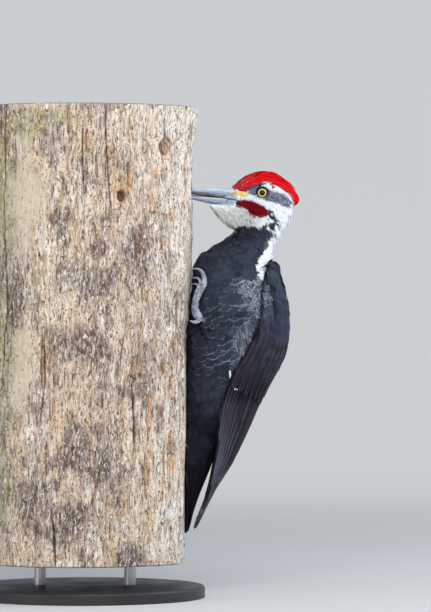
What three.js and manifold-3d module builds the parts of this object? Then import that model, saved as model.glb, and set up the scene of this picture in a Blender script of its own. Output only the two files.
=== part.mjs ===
// Adult male pileated woodpecker (Dryocopus pileatus), life size, as a still display model.
// The bird clings upright to a cut length of dead, barkless trunk, with its bill tip in a hole
// that it has pecked. The trunk stands on a plain round base by two short rods.
//
// Units are millimetres and +Z is up. The origin is the centre of the base's underside. The bill
// points along -X, the back faces +X, and the bird's left side faces -Y. The bird is symmetric
// about the plane Y = 0. Every flesh solid reaches out to the tips of its plumage.

import * as THREE from "three";
import { mergeVertices } from "three/addons/utils/BufferGeometryUtils.js";
import Module from "manifold-3d";

const wasm = await Module();
wasm.setup();

// ---------------------------------------------------------------- driving dimensions

const gap = 0.3; // between neighbouring solids

const base = { radius: 120, thickness: 12, chamfer: 2 };
const rod = { radius: 6, apart: 90, height: 24 };

const perch = {
  bottom: base.thickness + rod.height,
  length: 453,
  radius: 113,
  face: 107, // distance from the axis to the worn flat that the bird clings to
  faceBlend: 3,
  // The worn flat steps in going down: each step's height, depth and half length.
  steps: [
    { height: 303, depth: 3, blend: 14 },
    { height: 274, depth: 3, blend: 4 },
    { height: 140, depth: 2.2, blend: 22 },
  ],
  flare: { height: 468, depth: 6, blend: 16 }, // swelling towards a lost branch
  edgeBevel: 1.5,
};

// The hole that the bill works in: centre on the worn flat, half sizes along X, Y and Z.
const peckedHole = { height: 401, half: [10, 8, 11] };

const eye = { radius: 6.2, at: [177, 12.5, 403.7] };
const grip = { apart: 34, height: 288 }; // the sole of each foot

// Body sections from vent to nape: belly point (x, z), back point (x, z) and half width.
const torsoSections = [
  [103, 150, 132, 160, 11],
  [103.5, 185, 165, 199, 26],
  [104, 222, 192, 236, 38],
  [105.5, 258, 198.5, 268, 44.5],
  [106.5, 297, 198, 300, 46],
  [108.5, 329, 192, 322, 41],
  [123, 345, 188.5, 335, 33],
  [141, 356, 188.5, 347, 26.5],
  [153, 366, 195, 360, 23.5],
  [160, 378, 203, 376, 21],
];
const neckFrom = 6; // the neck starts at this section

// Head sections from chin tip to nape: crown point (x, z), throat point (x, z) and half width.
const headSections = [
  [125, 393.8, 124, 391.2, 2.5],
  [138, 397, 135, 378.8, 6],
  [148, 408.5, 146.4, 369.8, 9.5],
  [161, 415.5, 158, 365, 15],
  [173, 418.5, 169, 360.5, 18.8],
  [185, 418.5, 180, 358, 20],
  [196, 413, 191, 360, 18.6],
  [204, 402, 202, 368, 14.5],
  [208, 391, 207, 380, 7.5],
];

// Crest sections from forehead to the rear point: upper point, lower point and half width.
const crestSections = [
  [147.5, 410.5, 150, 403, 4],
  [160, 421.5, 163, 404, 9.5],
  [174, 425.8, 176, 407, 12.5],
  [188, 425.3, 186, 406, 12.5],
  [197, 420, 192, 402, 11],
  [205, 412.8, 199, 397, 8.8],
  [211, 404.6, 205, 392.5, 6.2],
  [215.6, 397.4, 212.2, 392.6, 2.2],
];

// Bill sections from the tip back: x, upper edge, lower edge and half width.
const upperBillSections = [
  [98.6, 404.8, 403.2, 1.2],
  [103, 407, 402.9, 2.3],
  [110, 408.2, 402.4, 3.4],
  [123, 408.7, 401.2, 4.7],
  [137, 408.7, 399.4, 6],
  [149, 408.2, 397.6, 7.4],
  [156, 405.5, 396.9, 8.6],
  [163, 400.6, 396.4, 10],
];
const lowerBillSections = [
  [99.6, 400.7, 399.6, 1.1],
  [104, 400.4, 398.7, 2],
  [110, 400.2, 396.9, 3],
  [123, 399.7, 393.7, 4.5],
  [137, 398.5, 391.4, 5.8],
  [149, 396.9, 390.4, 7],
];
const billHollow = 0.14; // how far each half is hollowed towards the other, as a share of its height
const tongue = { radius: 0.75, path: [[104, 401.35], [122, 400.75], [140, 398.95]] };

// Outline of the folded wings seen from behind the wing: sections like the torso's, and the
// front edge of the wing as seen from the side.
const wingSections = [
  [98, 60, 108.6, 64, 8],
  [98, 70, 115.4, 76, 12],
  [98.5, 100, 131, 107.5, 18],
  [99, 130, 149.5, 135.5, 22.5],
  [100, 165, 169.5, 178, 28],
  [101, 195, 184.5, 211, 34.5],
  [102, 228, 201, 241, 43.5],
  [104, 262, 205.6, 270, 49.5],
  [106, 299, 203.4, 298, 50.5],
  [110, 328, 197.3, 322, 45.5],
  [122, 347, 192, 337, 37],
  [136, 358, 189.5, 349, 29],
];
const wingFrontEdge = [
  [184, 338],
  [177, 318],
  [175, 296],
  [174, 275],
  [165, 255],
  [154, 236],
  [144, 221],
  [138.5, 204],
  [133.5, 184],
  [131, 158],
  [125.4, 122],
  [119.6, 97],
  [111.2, 76],
  [108.4, 66],
];
const wingBladeThickness = 5;
const bladesBelow = 216; // under this height the folded wings stand free of the body
// The back shows between the wings as a wedge, seen from behind, and the wings part again over
// the tail: half widths by height.
const mantle = { top: 352, shoulder: 322, shoulderHalf: 17, bottom: 212, bottomHalf: 0.4 };
const parting = { top: 205, bottom: 58, bottomHalf: 6 };

// Tail sections from root to tip: height, ridge x, side edge x, half width and thickness.
const tailSections = [
  [186, 143, 112, 15, 5],
  [160, 133.5, 106, 20, 4.6],
  [132, 125, 102.4, 22.5, 4],
  [108, 115, 101.2, 20, 3.2],
  [88, 108, 100.7, 13.5, 2.4],
  [64, 102, 100.2, 4.5, 1.2],
];

// Each toe as its path from the sole and its claw's path: x, distance out from Y = 0, and z.
const toes = {
  outer: {
    path: [[111.5, 37, 296], [115, 39.4, 304], [119, 40.4, 311.5]],
    claw: [[119.2, 40.4, 311], [119.8, 40.4, 318.5], [117.6, 40.3, 325], [113.4, 40, 328], [107.8, 40, 328]],
  },
  middle: {
    path: [[110.6, 33.6, 297], [112.7, 33, 305], [115.6, 32.6, 312]],
    claw: [[115.6, 32.6, 312], [115.4, 32.4, 316.6], [112.4, 32.2, 319], [107.8, 32, 318.8]],
  },
  inner: {
    path: [[110.2, 30.5, 295.5], [111.8, 28, 301], [113.8, 26.6, 306]],
    claw: [[113.8, 26.6, 306], [113.9, 26.2, 310.6], [111.2, 25.9, 313.2], [107, 25.6, 312.4]],
  },
  hind: {
    path: [[110, 33.4, 284], [111.6, 33.5, 280.4], [114.6, 33.6, 278]],
    claw: [[114.6, 33.6, 278], [113, 33.6, 275.6], [109.2, 33.6, 275], [104.9, 33.6, 276.4]],
  },
};
const toeRadii = [3.2, 2.9, 2.7];
const clawRadii = [2.8, 2.7, 2.2, 1.4, 0.5];
const clawFlatness = 0.75; // a claw is this much narrower than deep
const shank = { path: [[109.8, 34, 288], [115.5, 31.5, 281], [126, 28.5, 272]], radii: [3.2, 3.3, 4] };

// ---------------------------------------------------------------- materials

function finish(color, roughness, metalness = 0) {
  return new THREE.MeshStandardMaterial({ color, roughness, metalness });
}

const materials = {
  plumage: finish(0x1d1e23, 0.75),
  whitePlumage: finish(0xe8e9e6, 0.8),
  redPlumage: finish(0xd81420, 0.7),
  flightFeather: finish(0x24222a, 0.55),
  bill: finish(0x8f9cae, 0.35),
  mouth: finish(0x6a1620, 0.5),
  eye: finish(0x0b0b0d, 0.05),
  foot: finish(0x7f8b98, 0.55),
  claw: finish(0x8a90a6, 0.3),
  wood: finish(0xcdb899, 0.85),
  standBoard: finish(0x1c1b1a, 0.45),
  steel: finish(0xb9bcc0, 0.3, 1),
};

// ---------------------------------------------------------------- solids and geometry

// A closed geometry as a solid, with its faces turned outwards.
function solidFrom(geometry) {
  const bare = geometry.clone();
  bare.deleteAttribute("normal");
  bare.deleteAttribute("uv");
  const merged = mergeVertices(bare, 1e-4);
  const corners = new Uint32Array(merged.index.array);
  const build = () =>
    new wasm.Manifold(
      new wasm.Mesh({ numProp: 3, vertProperties: merged.attributes.position.array, triVerts: corners }),
    );
  const solid = build();
  if (solid.volume() >= 0) return solid;
  for (let i = 0; i < corners.length; i += 3) {
    [corners[i], corners[i + 1]] = [corners[i + 1], corners[i]];
  }
  return build();
}

function geometryFrom(solid) {
  const mesh = solid.getMesh();
  const geometry = new THREE.BufferGeometry();
  geometry.setAttribute("position", new THREE.BufferAttribute(mesh.vertProperties, 3));
  geometry.setIndex(new THREE.BufferAttribute(mesh.triVerts, 1));
  geometry.computeVertexNormals();
  return geometry;
}

// Joins rings of points, all of one length, into a closed geometry with a fan at each end.
function closedLoft(rings) {
  const sides = rings[0].length;
  const sumOf = (ring) => ring.reduce((sum, point) => sum.add(point), new THREE.Vector3());
  const middleOf = (ring) => sumOf(ring).divideScalar(sides);
  const points = [...rings.flat(), middleOf(rings[0]), middleOf(rings.at(-1))];
  const firstMiddle = rings.length * sides;
  const lastMiddle = firstMiddle + 1;
  const corners = [];
  for (let r = 0; r + 1 < rings.length; r++) {
    for (let s = 0; s < sides; s++) {
      const a = r * sides + s;
      const b = r * sides + ((s + 1) % sides);
      corners.push(a, b, b + sides, a, b + sides, a + sides);
    }
  }
  const lastRing = (rings.length - 1) * sides;
  for (let s = 0; s < sides; s++) {
    const next = (s + 1) % sides;
    corners.push(firstMiddle, next, s);
    corners.push(lastMiddle, lastRing + s, lastRing + next);
  }
  const geometry = new THREE.BufferGeometry().setFromPoints(points);
  geometry.setIndex(corners);
  return geometry;
}

// A smooth curve through rows of numbers, taken three at a time, read at t from 0 to 1.
function smoothRows(rows) {
  const width = rows[0].length;
  const curves = [];
  for (let c = 0; c < width; c += 3) {
    const triples = rows.map((row) => new THREE.Vector3(row[c], row[c + 1] ?? 0, row[c + 2] ?? 0));
    curves.push(new THREE.CatmullRomCurve3(triples, false, "catmullrom", 0.5));
  }
  return (t) => curves.flatMap((curve) => curve.getPoint(t).toArray()).slice(0, width);
}

function smoothStep(low, high, value) {
  return THREE.MathUtils.smoothstep(value, low, high);
}

// An oval loft. Each section is two points in the plane of symmetry and a half width, and grow
// moves the whole surface outwards. fullness above 2 squares the oval off a little.
function ovalLoft(sections, { sides = 24, stepsPerSection = 2, grow = 0, fullness = 2.1 } = {}) {
  const at = smoothRows(sections);
  const steps = (sections.length - 1) * stepsPerSection;
  const soften = (value) => Math.sign(value) * Math.abs(value) ** (2 / fullness);
  const rings = [];
  for (let i = 0; i <= steps; i++) {
    const [x1, z1, x2, z2, halfWidth] = at(i / steps);
    const middle = new THREE.Vector3((x1 + x2) / 2, 0, (z1 + z2) / 2);
    const reach = new THREE.Vector3((x2 - x1) / 2, 0, (z2 - z1) / 2);
    reach.setLength(reach.length() + grow);
    const ring = [];
    for (let s = 0; s < sides; s++) {
      const angle = (2 * Math.PI * s) / sides;
      const point = middle.clone().addScaledVector(reach, soften(Math.cos(angle)));
      point.y = (halfWidth + grow) * soften(Math.sin(angle));
      ring.push(point);
    }
    rings.push(ring);
  }
  return solidFrom(closedLoft(rings));
}

// A round tube along points, its radius following radii, flattened across its bend.
function taperedTube(points, radii, { sides = 8, steps = 5, flatness = 1, grow = 0 } = {}) {
  const curve = new THREE.CatmullRomCurve3(points.map((point) => new THREE.Vector3(...point)));
  const radiusAt = smoothRows(radii.map((radius) => [radius]));
  const frames = curve.computeFrenetFrames(steps, false);
  const endTaper = [0.6];
  const rings = [];
  const addRing = (step, radius, along) => {
    const t = step / steps;
    const middle = curve.getPoint(t).addScaledVector(frames.tangents[step], along);
    const ring = [];
    for (let s = 0; s < sides; s++) {
      const angle = (2 * Math.PI * s) / sides;
      const point = middle.clone();
      point.addScaledVector(frames.normals[step], Math.cos(angle) * radius * flatness);
      point.addScaledVector(frames.binormals[step], Math.sin(angle) * radius);
      ring.push(point);
    }
    rings.push(ring);
  };
  const startRadius = radiusAt(0)[0] + grow;
  const endRadius = radiusAt(1)[0] + grow;
  endTaper.forEach((share) => addRing(0, startRadius * share, startRadius * (share - 1)));
  for (let i = 0; i <= steps; i++) addRing(i, radiusAt(i / steps)[0] + grow, 0);
  endTaper.toReversed().forEach((share) => addRing(steps, endRadius * share, endRadius * (1 - share)));
  return solidFrom(closedLoft(rings));
}

// A flat outline of (x, z) points pushed along Y from near to far.
function sideSlab(outline, near, far) {
  const shape = new THREE.Shape(outline.map(([x, z]) => new THREE.Vector2(x, z)));
  const geometry = new THREE.ExtrudeGeometry(shape, { depth: far - near, bevelEnabled: false });
  geometry.rotateX(Math.PI / 2);
  geometry.translate(0, far, 0);
  return solidFrom(geometry);
}

// A flat outline of (y, z) points pushed along X from near to far.
function backSlab(outline, near, far) {
  const shape = new THREE.Shape(outline.map(([y, z]) => new THREE.Vector2(y, z)));
  const geometry = new THREE.ExtrudeGeometry(shape, { depth: far - near, bevelEnabled: false });
  geometry.rotateX(Math.PI / 2);
  geometry.rotateZ(Math.PI / 2);
  geometry.translate(near, 0, 0);
  return solidFrom(geometry);
}

function ellipsoid(centre, half, segments = 12) {
  const geometry = new THREE.SphereGeometry(1, segments, Math.round(segments * 0.7));
  geometry.scale(...half);
  geometry.translate(...centre);
  return solidFrom(geometry);
}

function mirrored(solid) {
  return solidFrom(geometryFrom(solid).scale(1, -1, 1));
}

// ---------------------------------------------------------------- stand and perch

function standBaseGeometry() {
  const { radius, thickness, chamfer } = base;
  const profile = [
    [0, 0],
    [radius, 0],
    [radius, thickness - chamfer],
    [radius - chamfer, thickness],
    [0, thickness],
  ];
  const geometry = new THREE.LatheGeometry(profile.map(([r, h]) => new THREE.Vector2(r, h)), 44);
  return geometry.rotateX(Math.PI / 2);
}

function standRodGeometry() {
  return new THREE.CylinderGeometry(rod.radius, rod.radius, rod.height, 16).rotateX(Math.PI / 2);
}

// Distance of the worn flat from the trunk's axis at a height.
function faceAt(height) {
  const risen = ({ height: middle, blend }) => smoothStep(middle - blend, middle + blend, height);
  const { face, steps, flare } = perch;
  const stepped = steps.reduce((distance, step) => distance - step.depth * (1 - risen(step)), face);
  return stepped + flare.depth * risen(flare);
}

// The trunk's outline at a height: round with slow swellings, and worn flat towards +X.
function trunkPoint(angle, height, inset = 0) {
  const radius =
    perch.radius -
    inset +
    2 * Math.sin(2 * angle + 0.6) +
    1.4 * Math.sin(3 * angle + height / 60) +
    0.8 * Math.sin(5 * angle - height / 45);
  const blend = perch.faceBlend;
  const flat = faceAt(height) - inset;
  const x = -blend * Math.log(Math.exp(-(radius * Math.cos(angle)) / blend) + Math.exp(-flat / blend));
  return new THREE.Vector3(x, radius * Math.sin(angle), height);
}

function perchSolid() {
  const sides = 30;
  const evenRows = 5;
  const { bottom, length, edgeBevel, steps, flare } = perch;
  const top = bottom + length;
  const ringAt = (height, inset) =>
    Array.from({ length: sides }, (_, s) => trunkPoint((2 * Math.PI * s) / sides, height, inset));
  const stepHeights = [...steps, flare].flatMap(({ height, blend }) => [height - blend, height + blend]);
  const spacing = length / (evenRows + 1);
  const evenHeights = Array.from({ length: evenRows }, (_, r) => bottom + spacing * (r + 1));
  const heights = [bottom + edgeBevel, ...stepHeights, ...evenHeights, top - edgeBevel];
  heights.sort((a, b) => a - b);
  const sideRings = heights.map((height) => ringAt(height, 0));
  const rings = [ringAt(bottom, edgeBevel), ...sideRings, ringAt(top, edgeBevel)];
  const hole = ellipsoid([faceAt(peckedHole.height), 0, peckedHole.height], peckedHole.half);
  return solidFrom(closedLoft(rings)).subtract(hole);
}

// ---------------------------------------------------------------- bill, tongue and eyes

// One half of the bill. side is 1 for the upper half, whose ridge is on top, or -1 for the lower.
function billHalf(sections, side, grow = 0) {
  const at = smoothRows(sections);
  const sides = 12;
  const steps = sections.length - 1;
  const rings = [];
  for (let i = 0; i <= steps; i++) {
    const [x, upper, lower, halfWidth] = at(i / steps);
    const edge = side > 0 ? lower : upper;
    const height = upper - lower;
    const along = x + (i === steps ? grow : 0);
    const ring = [];
    for (let s = 0; s < sides; s++) {
      const angle = (2 * Math.PI * s) / sides;
      const rise = Math.sin(angle);
      const ridge = rise > 1e-6 ? height * rise ** 0.9 + grow : -height * billHollow * rise - grow;
      ring.push(new THREE.Vector3(along, (halfWidth + grow) * Math.cos(angle), edge + side * ridge));
    }
    rings.push(ring);
  }
  return solidFrom(closedLoft(rings));
}

function tongueSolid(grow = 0) {
  const { radius, path } = tongue;
  const points = path.map(([x, z]) => [x, 0, z]);
  return taperedTube(points, [radius * 0.7, radius, radius], { sides: 6, steps: 3, grow });
}

function eyeball(side, grow = 0) {
  const [x, out, z] = eye.at;
  const radius = eye.radius + grow;
  return ellipsoid([x, side * out, z], [radius, radius, radius]);
}

// ---------------------------------------------------------------- legs and claws

const sideways = (points, side) => points.map(([x, out, z]) => [x, side * out, z]);

function legSolid(side, grow = 0) {
  let solid = taperedTube(sideways(shank.path, side), shank.radii, { grow, steps: 3 });
  const sole = [109.8, grip.apart, grip.height];
  for (const toe of Object.values(toes)) {
    const path = sideways([sole, ...toe.path], side);
    solid = solid.add(taperedTube(path, toeRadii, { grow, steps: 3 }));
  }
  return solid;
}

function clawSolid(toe, side, grow = 0) {
  const shape = { sides: 6, steps: 4, flatness: clawFlatness, grow };
  return taperedTube(sideways(toe.claw, side), clawRadii, shape);
}

function grownFoot(side) {
  const claws = Object.values(toes).map((toe) => clawSolid(toe, side, gap));
  return claws.reduce((sum, claw) => sum.add(claw), legSolid(side, gap));
}

// ---------------------------------------------------------------- wings, mantle and tail

const behindBird = 230; // a distance past the bird's back
const wingOuter = ovalLoft(wingSections, { sides: 28 });

// What a wing lies on: the body, and below it the hollow between the folded blades.
function wingInner(body) {
  const sunk = wingSections
    .filter((section) => section[3] < bladesBelow + wingSections.length)
    .map(([x1, z1, x2, z2, halfWidth]) => [
      x1,
      z1 - 1,
      x2 - Math.min(wingBladeThickness, (x2 - x1) * 0.4),
      z2,
      Math.max(halfWidth - wingBladeThickness, halfWidth * 0.5),
    ]);
  return body.add(ovalLoft(sunk, { sides: 24 }));
}

function mantleWedge(grow) {
  const { top, shoulder, shoulderHalf, bottom, bottomHalf } = mantle;
  const wide = shoulderHalf + grow;
  const narrow = bottomHalf + grow;
  const outline = [
    [-wide, top],
    [-wide, shoulder],
    [-narrow, bottom - grow],
    [narrow, bottom - grow],
    [wide, shoulder],
    [wide, top],
  ];
  return backSlab(outline, 60, behindBird);
}

function leftWing(inner) {
  const edge = new THREE.SplineCurve(wingFrontEdge.map(([x, z]) => new THREE.Vector2(x, z)));
  const smoothEdge = edge.getPoints(20).map((point) => [point.x, point.y]);
  const outline = [...smoothEdge, [behindBird, parting.bottom], [behindBird, mantle.top]];
  const slab = sideSlab(outline, -70, -mantle.bottomHalf);
  const tailParting = backSlab(
    [
      [0, parting.top],
      [-parting.bottomHalf, parting.bottom],
      [0, parting.bottom],
    ],
    0,
    behindBird,
  );
  return wingOuter.intersect(slab).subtract(inner).subtract(mantleWedge(gap)).subtract(tailParting);
}

function tailSolid() {
  const at = smoothRows(tailSections);
  const steps = 10;
  const across = 8;
  const rings = [];
  for (let i = 0; i <= steps; i++) {
    const [height, ridge, edge, halfWidth, thickness] = at(i / steps);
    const arch = (shrink) =>
      Array.from({ length: across + 1 }, (_, s) => {
        const angle = (Math.PI * s) / across;
        const x = edge + (ridge - edge - shrink) * Math.sin(angle) ** 0.8;
        return new THREE.Vector3(x, -(halfWidth - shrink) * Math.cos(angle), height);
      });
    rings.push([...arch(0), ...arch(thickness).reverse()]);
  }
  return solidFrom(closedLoft(rings));
}

// ---------------------------------------------------------------- the parts

function largestBody(solid) {
  return solid.decompose().sort((a, b) => b.volume() - a.volume())[0];
}

const legs = { left: legSolid(-1), right: legSolid(1) };
const grownFeet = grownFoot(-1).add(grownFoot(1));
const grownEyes = eyeball(-1, gap).add(eyeball(1, gap));
const grownBill = billHalf(upperBillSections, 1, gap)
  .add(billHalf(lowerBillSections, -1, gap))
  .add(tongueSolid(gap));

const headShape = (grow) => ovalLoft(headSections, { sides: 22, grow });
const head = headShape(0).subtract(grownBill).subtract(grownEyes);
const grownHead = headShape(gap);
const crestShape = (grow) => ovalLoft(crestSections, { sides: 16, fullness: 2.3, grow });
const crest = largestBody(crestShape(0).subtract(grownHead).subtract(grownBill));

// Everything above the neck's first section, moved up by shift.
function aboveNeckCut(shift) {
  const [x1, z1, x2, z2] = torsoSections[neckFrom];
  const along = new THREE.Vector2(x2 - x1, z2 - z1).normalize();
  const lift = new THREE.Vector2(-along.y, along.x).multiplyScalar(shift);
  const reach = 60;
  const height = 200;
  const near = [x1 - along.x * reach + lift.x, z1 - along.y * reach + lift.y];
  const far = [x2 + along.x * reach + lift.x, z2 + along.y * reach + lift.y];
  return sideSlab([near, far, [far[0], far[1] + height], [near[0], near[1] + height]], -90, 90);
}

const body = ovalLoft(torsoSections);

const back = wingOuter.intersect(mantleWedge(0));
const wholeBody = body.add(back);
const neck = largestBody(body.intersect(aboveNeckCut(gap / 2)).subtract(grownHead).subtract(crestShape(gap)));
const torso = largestBody(wholeBody.subtract(aboveNeckCut(-gap / 2)).subtract(grownFeet));

const grownBody = ovalLoft(torsoSections, { grow: gap });
const wing = largestBody(leftWing(wingInner(grownBody)));
const tail = largestBody(tailSolid().subtract(grownBody));

// ---------------------------------------------------------------- the scene

const model = new THREE.Group();
const stand = new THREE.Group();
const bird = new THREE.Group();
model.add(stand, bird);

function addMesh(group, name, shape, material, position = [0, 0, 0]) {
  const geometry = shape.isBufferGeometry ? shape : geometryFrom(shape);
  const mesh = new THREE.Mesh(geometry, material);
  mesh.name = name;
  mesh.position.set(...position);
  group.add(mesh);
}

addMesh(stand, "stand_base", standBaseGeometry(), materials.standBoard);
for (const [name, side] of [["left", -1], ["right", 1]]) {
  const at = [(side * rod.apart) / 2, 0, base.thickness + rod.height / 2];
  addMesh(stand, `stand_rod_${name}`, standRodGeometry(), materials.steel, at);
}
addMesh(model, "perch_trunk", perchSolid(), materials.wood);

addMesh(bird, "torso", torso, materials.plumage);
addMesh(bird, "neck", neck, materials.whitePlumage);
addMesh(bird, "head", head, materials.whitePlumage);
addMesh(bird, "crest", crest, materials.redPlumage);
addMesh(bird, "bill_upper", billHalf(upperBillSections, 1), materials.bill);
addMesh(bird, "bill_lower", billHalf(lowerBillSections, -1), materials.bill);
addMesh(bird, "tongue", tongueSolid(), materials.mouth);
addMesh(bird, "tail", tail, materials.flightFeather);
addMesh(bird, "wing_left", wing, materials.flightFeather);
addMesh(bird, "wing_right", mirrored(wing), materials.flightFeather);

for (const [name, side] of [["left", -1], ["right", 1]]) {
  addMesh(bird, `eye_${name}`, eyeball(side), materials.eye);
  addMesh(bird, `leg_${name}`, legs[name], materials.foot);
  for (const [toeName, toe] of Object.entries(toes)) {
    const claw = largestBody(clawSolid(toe, side).subtract(legSolid(side, gap)));
    addMesh(bird, `claw_${name}_${toeName}`, claw, materials.claw);
  }
}

export default model;
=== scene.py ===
import itertools
import math

import bmesh
import bpy
import numpy as np
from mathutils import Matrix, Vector
from mathutils.bvhtree import BVHTree


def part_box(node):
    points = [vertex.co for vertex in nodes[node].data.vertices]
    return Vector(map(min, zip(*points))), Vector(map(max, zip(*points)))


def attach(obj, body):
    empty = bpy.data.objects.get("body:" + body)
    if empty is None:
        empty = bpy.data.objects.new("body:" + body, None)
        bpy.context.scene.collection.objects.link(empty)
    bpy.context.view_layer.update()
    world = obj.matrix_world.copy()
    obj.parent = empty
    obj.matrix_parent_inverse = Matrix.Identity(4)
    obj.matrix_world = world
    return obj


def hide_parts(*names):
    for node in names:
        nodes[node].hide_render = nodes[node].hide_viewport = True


# A pileated woodpecker on a cut log. Lengths are in millimetres until a mesh is made.
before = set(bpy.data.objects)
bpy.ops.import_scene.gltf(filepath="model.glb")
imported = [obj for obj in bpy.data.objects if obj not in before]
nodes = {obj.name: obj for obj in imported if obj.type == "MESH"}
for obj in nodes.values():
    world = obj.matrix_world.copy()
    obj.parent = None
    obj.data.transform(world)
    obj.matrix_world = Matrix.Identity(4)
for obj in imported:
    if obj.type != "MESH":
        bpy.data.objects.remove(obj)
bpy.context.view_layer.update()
mm = 0.001
draw = np.random.default_rng(11)
print("frame:", len(nodes), "nodes")


def boxOf(name):
    low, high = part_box(name)
    return np.array(low) / mm, np.array(high) / mm


def middleOf(name):
    low, high = boxOf(name)
    return (low + high) / 2


trunkLow, trunkHigh = boxOf("perch_trunk")
eyeAt = middleOf("eye_left")  # head shapes are placed from the eye
signs = {"left": -1, "right": 1}  # the bird's left is toward the camera, along -Y


def sideEyed(points):
    return points[:, 0] - eyeAt[0], points[:, 2] - eyeAt[2]


def fromEye(points):
    return np.hypot(*sideEyed(points))


# The camera looks level along +Y; the view is 612 mm high at the bird.
cameraSettings = {"distance": 4000.0, "across": 130.5, "height": 291.0, "viewHeight": 612.0}


def makeCamera(s):
    data = bpy.data.cameras.new("camera")
    data.lens = data.sensor_width * s["distance"] / s["viewHeight"]
    data.clip_end = 50
    camera = bpy.data.objects.new("camera", data)
    camera.location = Vector((s["across"], -s["distance"], s["height"])) * mm
    camera.rotation_euler = (math.pi / 2, 0, 0)
    bpy.context.scene.collection.objects.link(camera)
    bpy.context.scene.camera = camera


makeCamera(cameraSettings)


# Meshes from arrays, and arrays from meshes.
def meshFrom(name, points, faces, material=None, fields=None, patch=None):
    mesh = bpy.data.meshes.new(name)
    count, corners = faces.shape
    mesh.vertices.add(len(points))
    mesh.vertices.foreach_set("co", (points * mm).astype(np.float32).ravel())
    mesh.loops.add(count * corners)
    mesh.loops.foreach_set("vertex_index", faces.astype(np.int32).ravel())
    mesh.polygons.add(count)
    mesh.polygons.foreach_set("loop_start", np.arange(count, dtype=np.int32) * corners)
    mesh.update(calc_edges=True)
    mesh.polygons.foreach_set("use_smooth", np.ones(count, bool))
    for key, values in (fields or {}).items():
        addField(mesh, key, values)
    if patch is not None:
        layer = mesh.uv_layers.new(name="OFBake")
        layer.data.foreach_set("uv", patch[faces.ravel()].astype(np.float32).ravel())
    obj = bpy.data.objects.new(name, mesh)
    bpy.context.scene.collection.objects.link(obj)
    if material:
        mesh.materials.append(material)
    return obj


def addField(mesh, name, values):
    layer = mesh.attributes.new(name, "FLOAT", "POINT")
    layer.data.foreach_set("value", np.asarray(values, np.float32).ravel())


def triplesOf(items, key, kind=np.float32):
    flat = np.empty(len(items) * 3, kind)
    items.foreach_get(key, flat)
    return flat.reshape(-1, 3)


def pointsOf(mesh):
    return triplesOf(mesh.vertices, "co").astype(float) / mm


def normalsOf(mesh):
    return triplesOf(mesh.vertex_normals, "vector").astype(float)


def trianglesOf(mesh):
    mesh.calc_loop_triangles()
    return triplesOf(mesh.loop_triangles, "vertices", np.int32)


def arraysOf(*meshes):
    points, faces, start = [], [], 0
    for mesh in meshes:
        points.append(pointsOf(mesh))
        faces.append(trianglesOf(mesh) + start)
        start += len(mesh.vertices)
    return np.concatenate(points), np.concatenate(faces)


def nodeArrays(*names):
    return arraysOf(*(nodes[name].data for name in names))


def setPoints(mesh, points):
    mesh.vertices.foreach_set("co", (points * mm).astype(np.float32).ravel())
    mesh.update()


def applyModifiers(obj):
    graph = bpy.context.evaluated_depsgraph_get()
    mesh = bpy.data.meshes.new_from_object(obj.evaluated_get(graph))
    obj.modifiers.clear()
    old = obj.data
    obj.data = mesh
    bpy.data.meshes.remove(old)
    mesh.polygons.foreach_set("use_smooth", np.ones(len(mesh.polygons), bool))


def weld(obj, gap):
    obj.modifiers.new("weld", "WELD").merge_threshold = gap * mm


# Fuses copies of CAD nodes into one smooth closed mesh.
def fused(name, sources, voxel, rounds, grow, ease=0):
    obj = meshFrom(name, *nodeArrays(*sources))
    if ease:
        weld(obj, 0.01)
        obj.modifiers.new("ease", "SUBSURF").levels = ease
    swell = obj.modifiers.new("swell", "DISPLACE")
    swell.strength, swell.mid_level = grow * mm, 0
    remesh = obj.modifiers.new("remesh", "REMESH")
    remesh.mode, remesh.voxel_size = "VOXEL", voxel * mm
    relax = obj.modifiers.new("relax", "SMOOTH")
    relax.factor, relax.iterations = 0.5, rounds
    applyModifiers(obj)
    return obj


def treeOf(points, faces):
    return BVHTree.FromPolygons((points * mm).tolist(), faces.tolist())


def surfaceOf(*meshes):
    points, faces = arraysOf(*meshes)
    return treeOf(points, faces), points, faces


def nearestOn(tree, points):
    hits = [tree.find_nearest(p) for p in (points * mm).tolist()]
    return (
        np.array([h[0][:] for h in hits]) / mm,
        np.array([h[1][:] for h in hits]),
        np.array([h[2] for h in hits]),
    )


def unit(vectors):
    return vectors / np.maximum(np.linalg.norm(vectors, axis=-1, keepdims=True), 1e-9)


def smooth(low, high, values):
    t = np.clip((values - low) / (high - low), 0, 1)
    return t * t * (3 - 2 * t)


def wobble(points, size, seed):
    # a slow random field from -1 to 1 made of a few waves
    spin = np.random.default_rng(seed)
    total = 0
    for _ in range(6):
        direction = unit(spin.normal(size=3))
        wave = size * spin.uniform(0.6, 1.6)
        total = total + np.sin(points @ direction * 2 * math.pi / wave + spin.uniform(0, 6.28))
    return total / 3.5


def segmentDistance(x, z, start, end):
    dx, dz = end[0] - start[0], end[1] - start[1]
    t = np.clip(((x - start[0]) * dx + (z - start[1]) * dz) / (dx * dx + dz * dz), 0, 1)
    return np.hypot(x - start[0] - t * dx, z - start[1] - t * dz)


# Signed distance to a closed outline in the side view, negative inside.
def outlineDistance(x, z, outline):
    corners = np.array(outline, float)
    best = np.full(len(x), 1e9)
    inside = np.zeros(len(x), bool)
    for (ax, az), (bx, bz) in zip(corners, np.roll(corners, -1, axis=0)):
        best = np.minimum(best, segmentDistance(x, z, (ax, az), (bx, bz)))
        with np.errstate(divide="ignore", invalid="ignore"):
            side = x < (bx - ax) * (z - az) / (bz - az) + ax
        inside ^= ((az > z) != (bz > z)) & side
    return np.where(inside, -best, best)


def patchMask(x, z, outline, soft):
    return smooth(soft, -soft, outlineDistance(x, z, outline))


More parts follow.
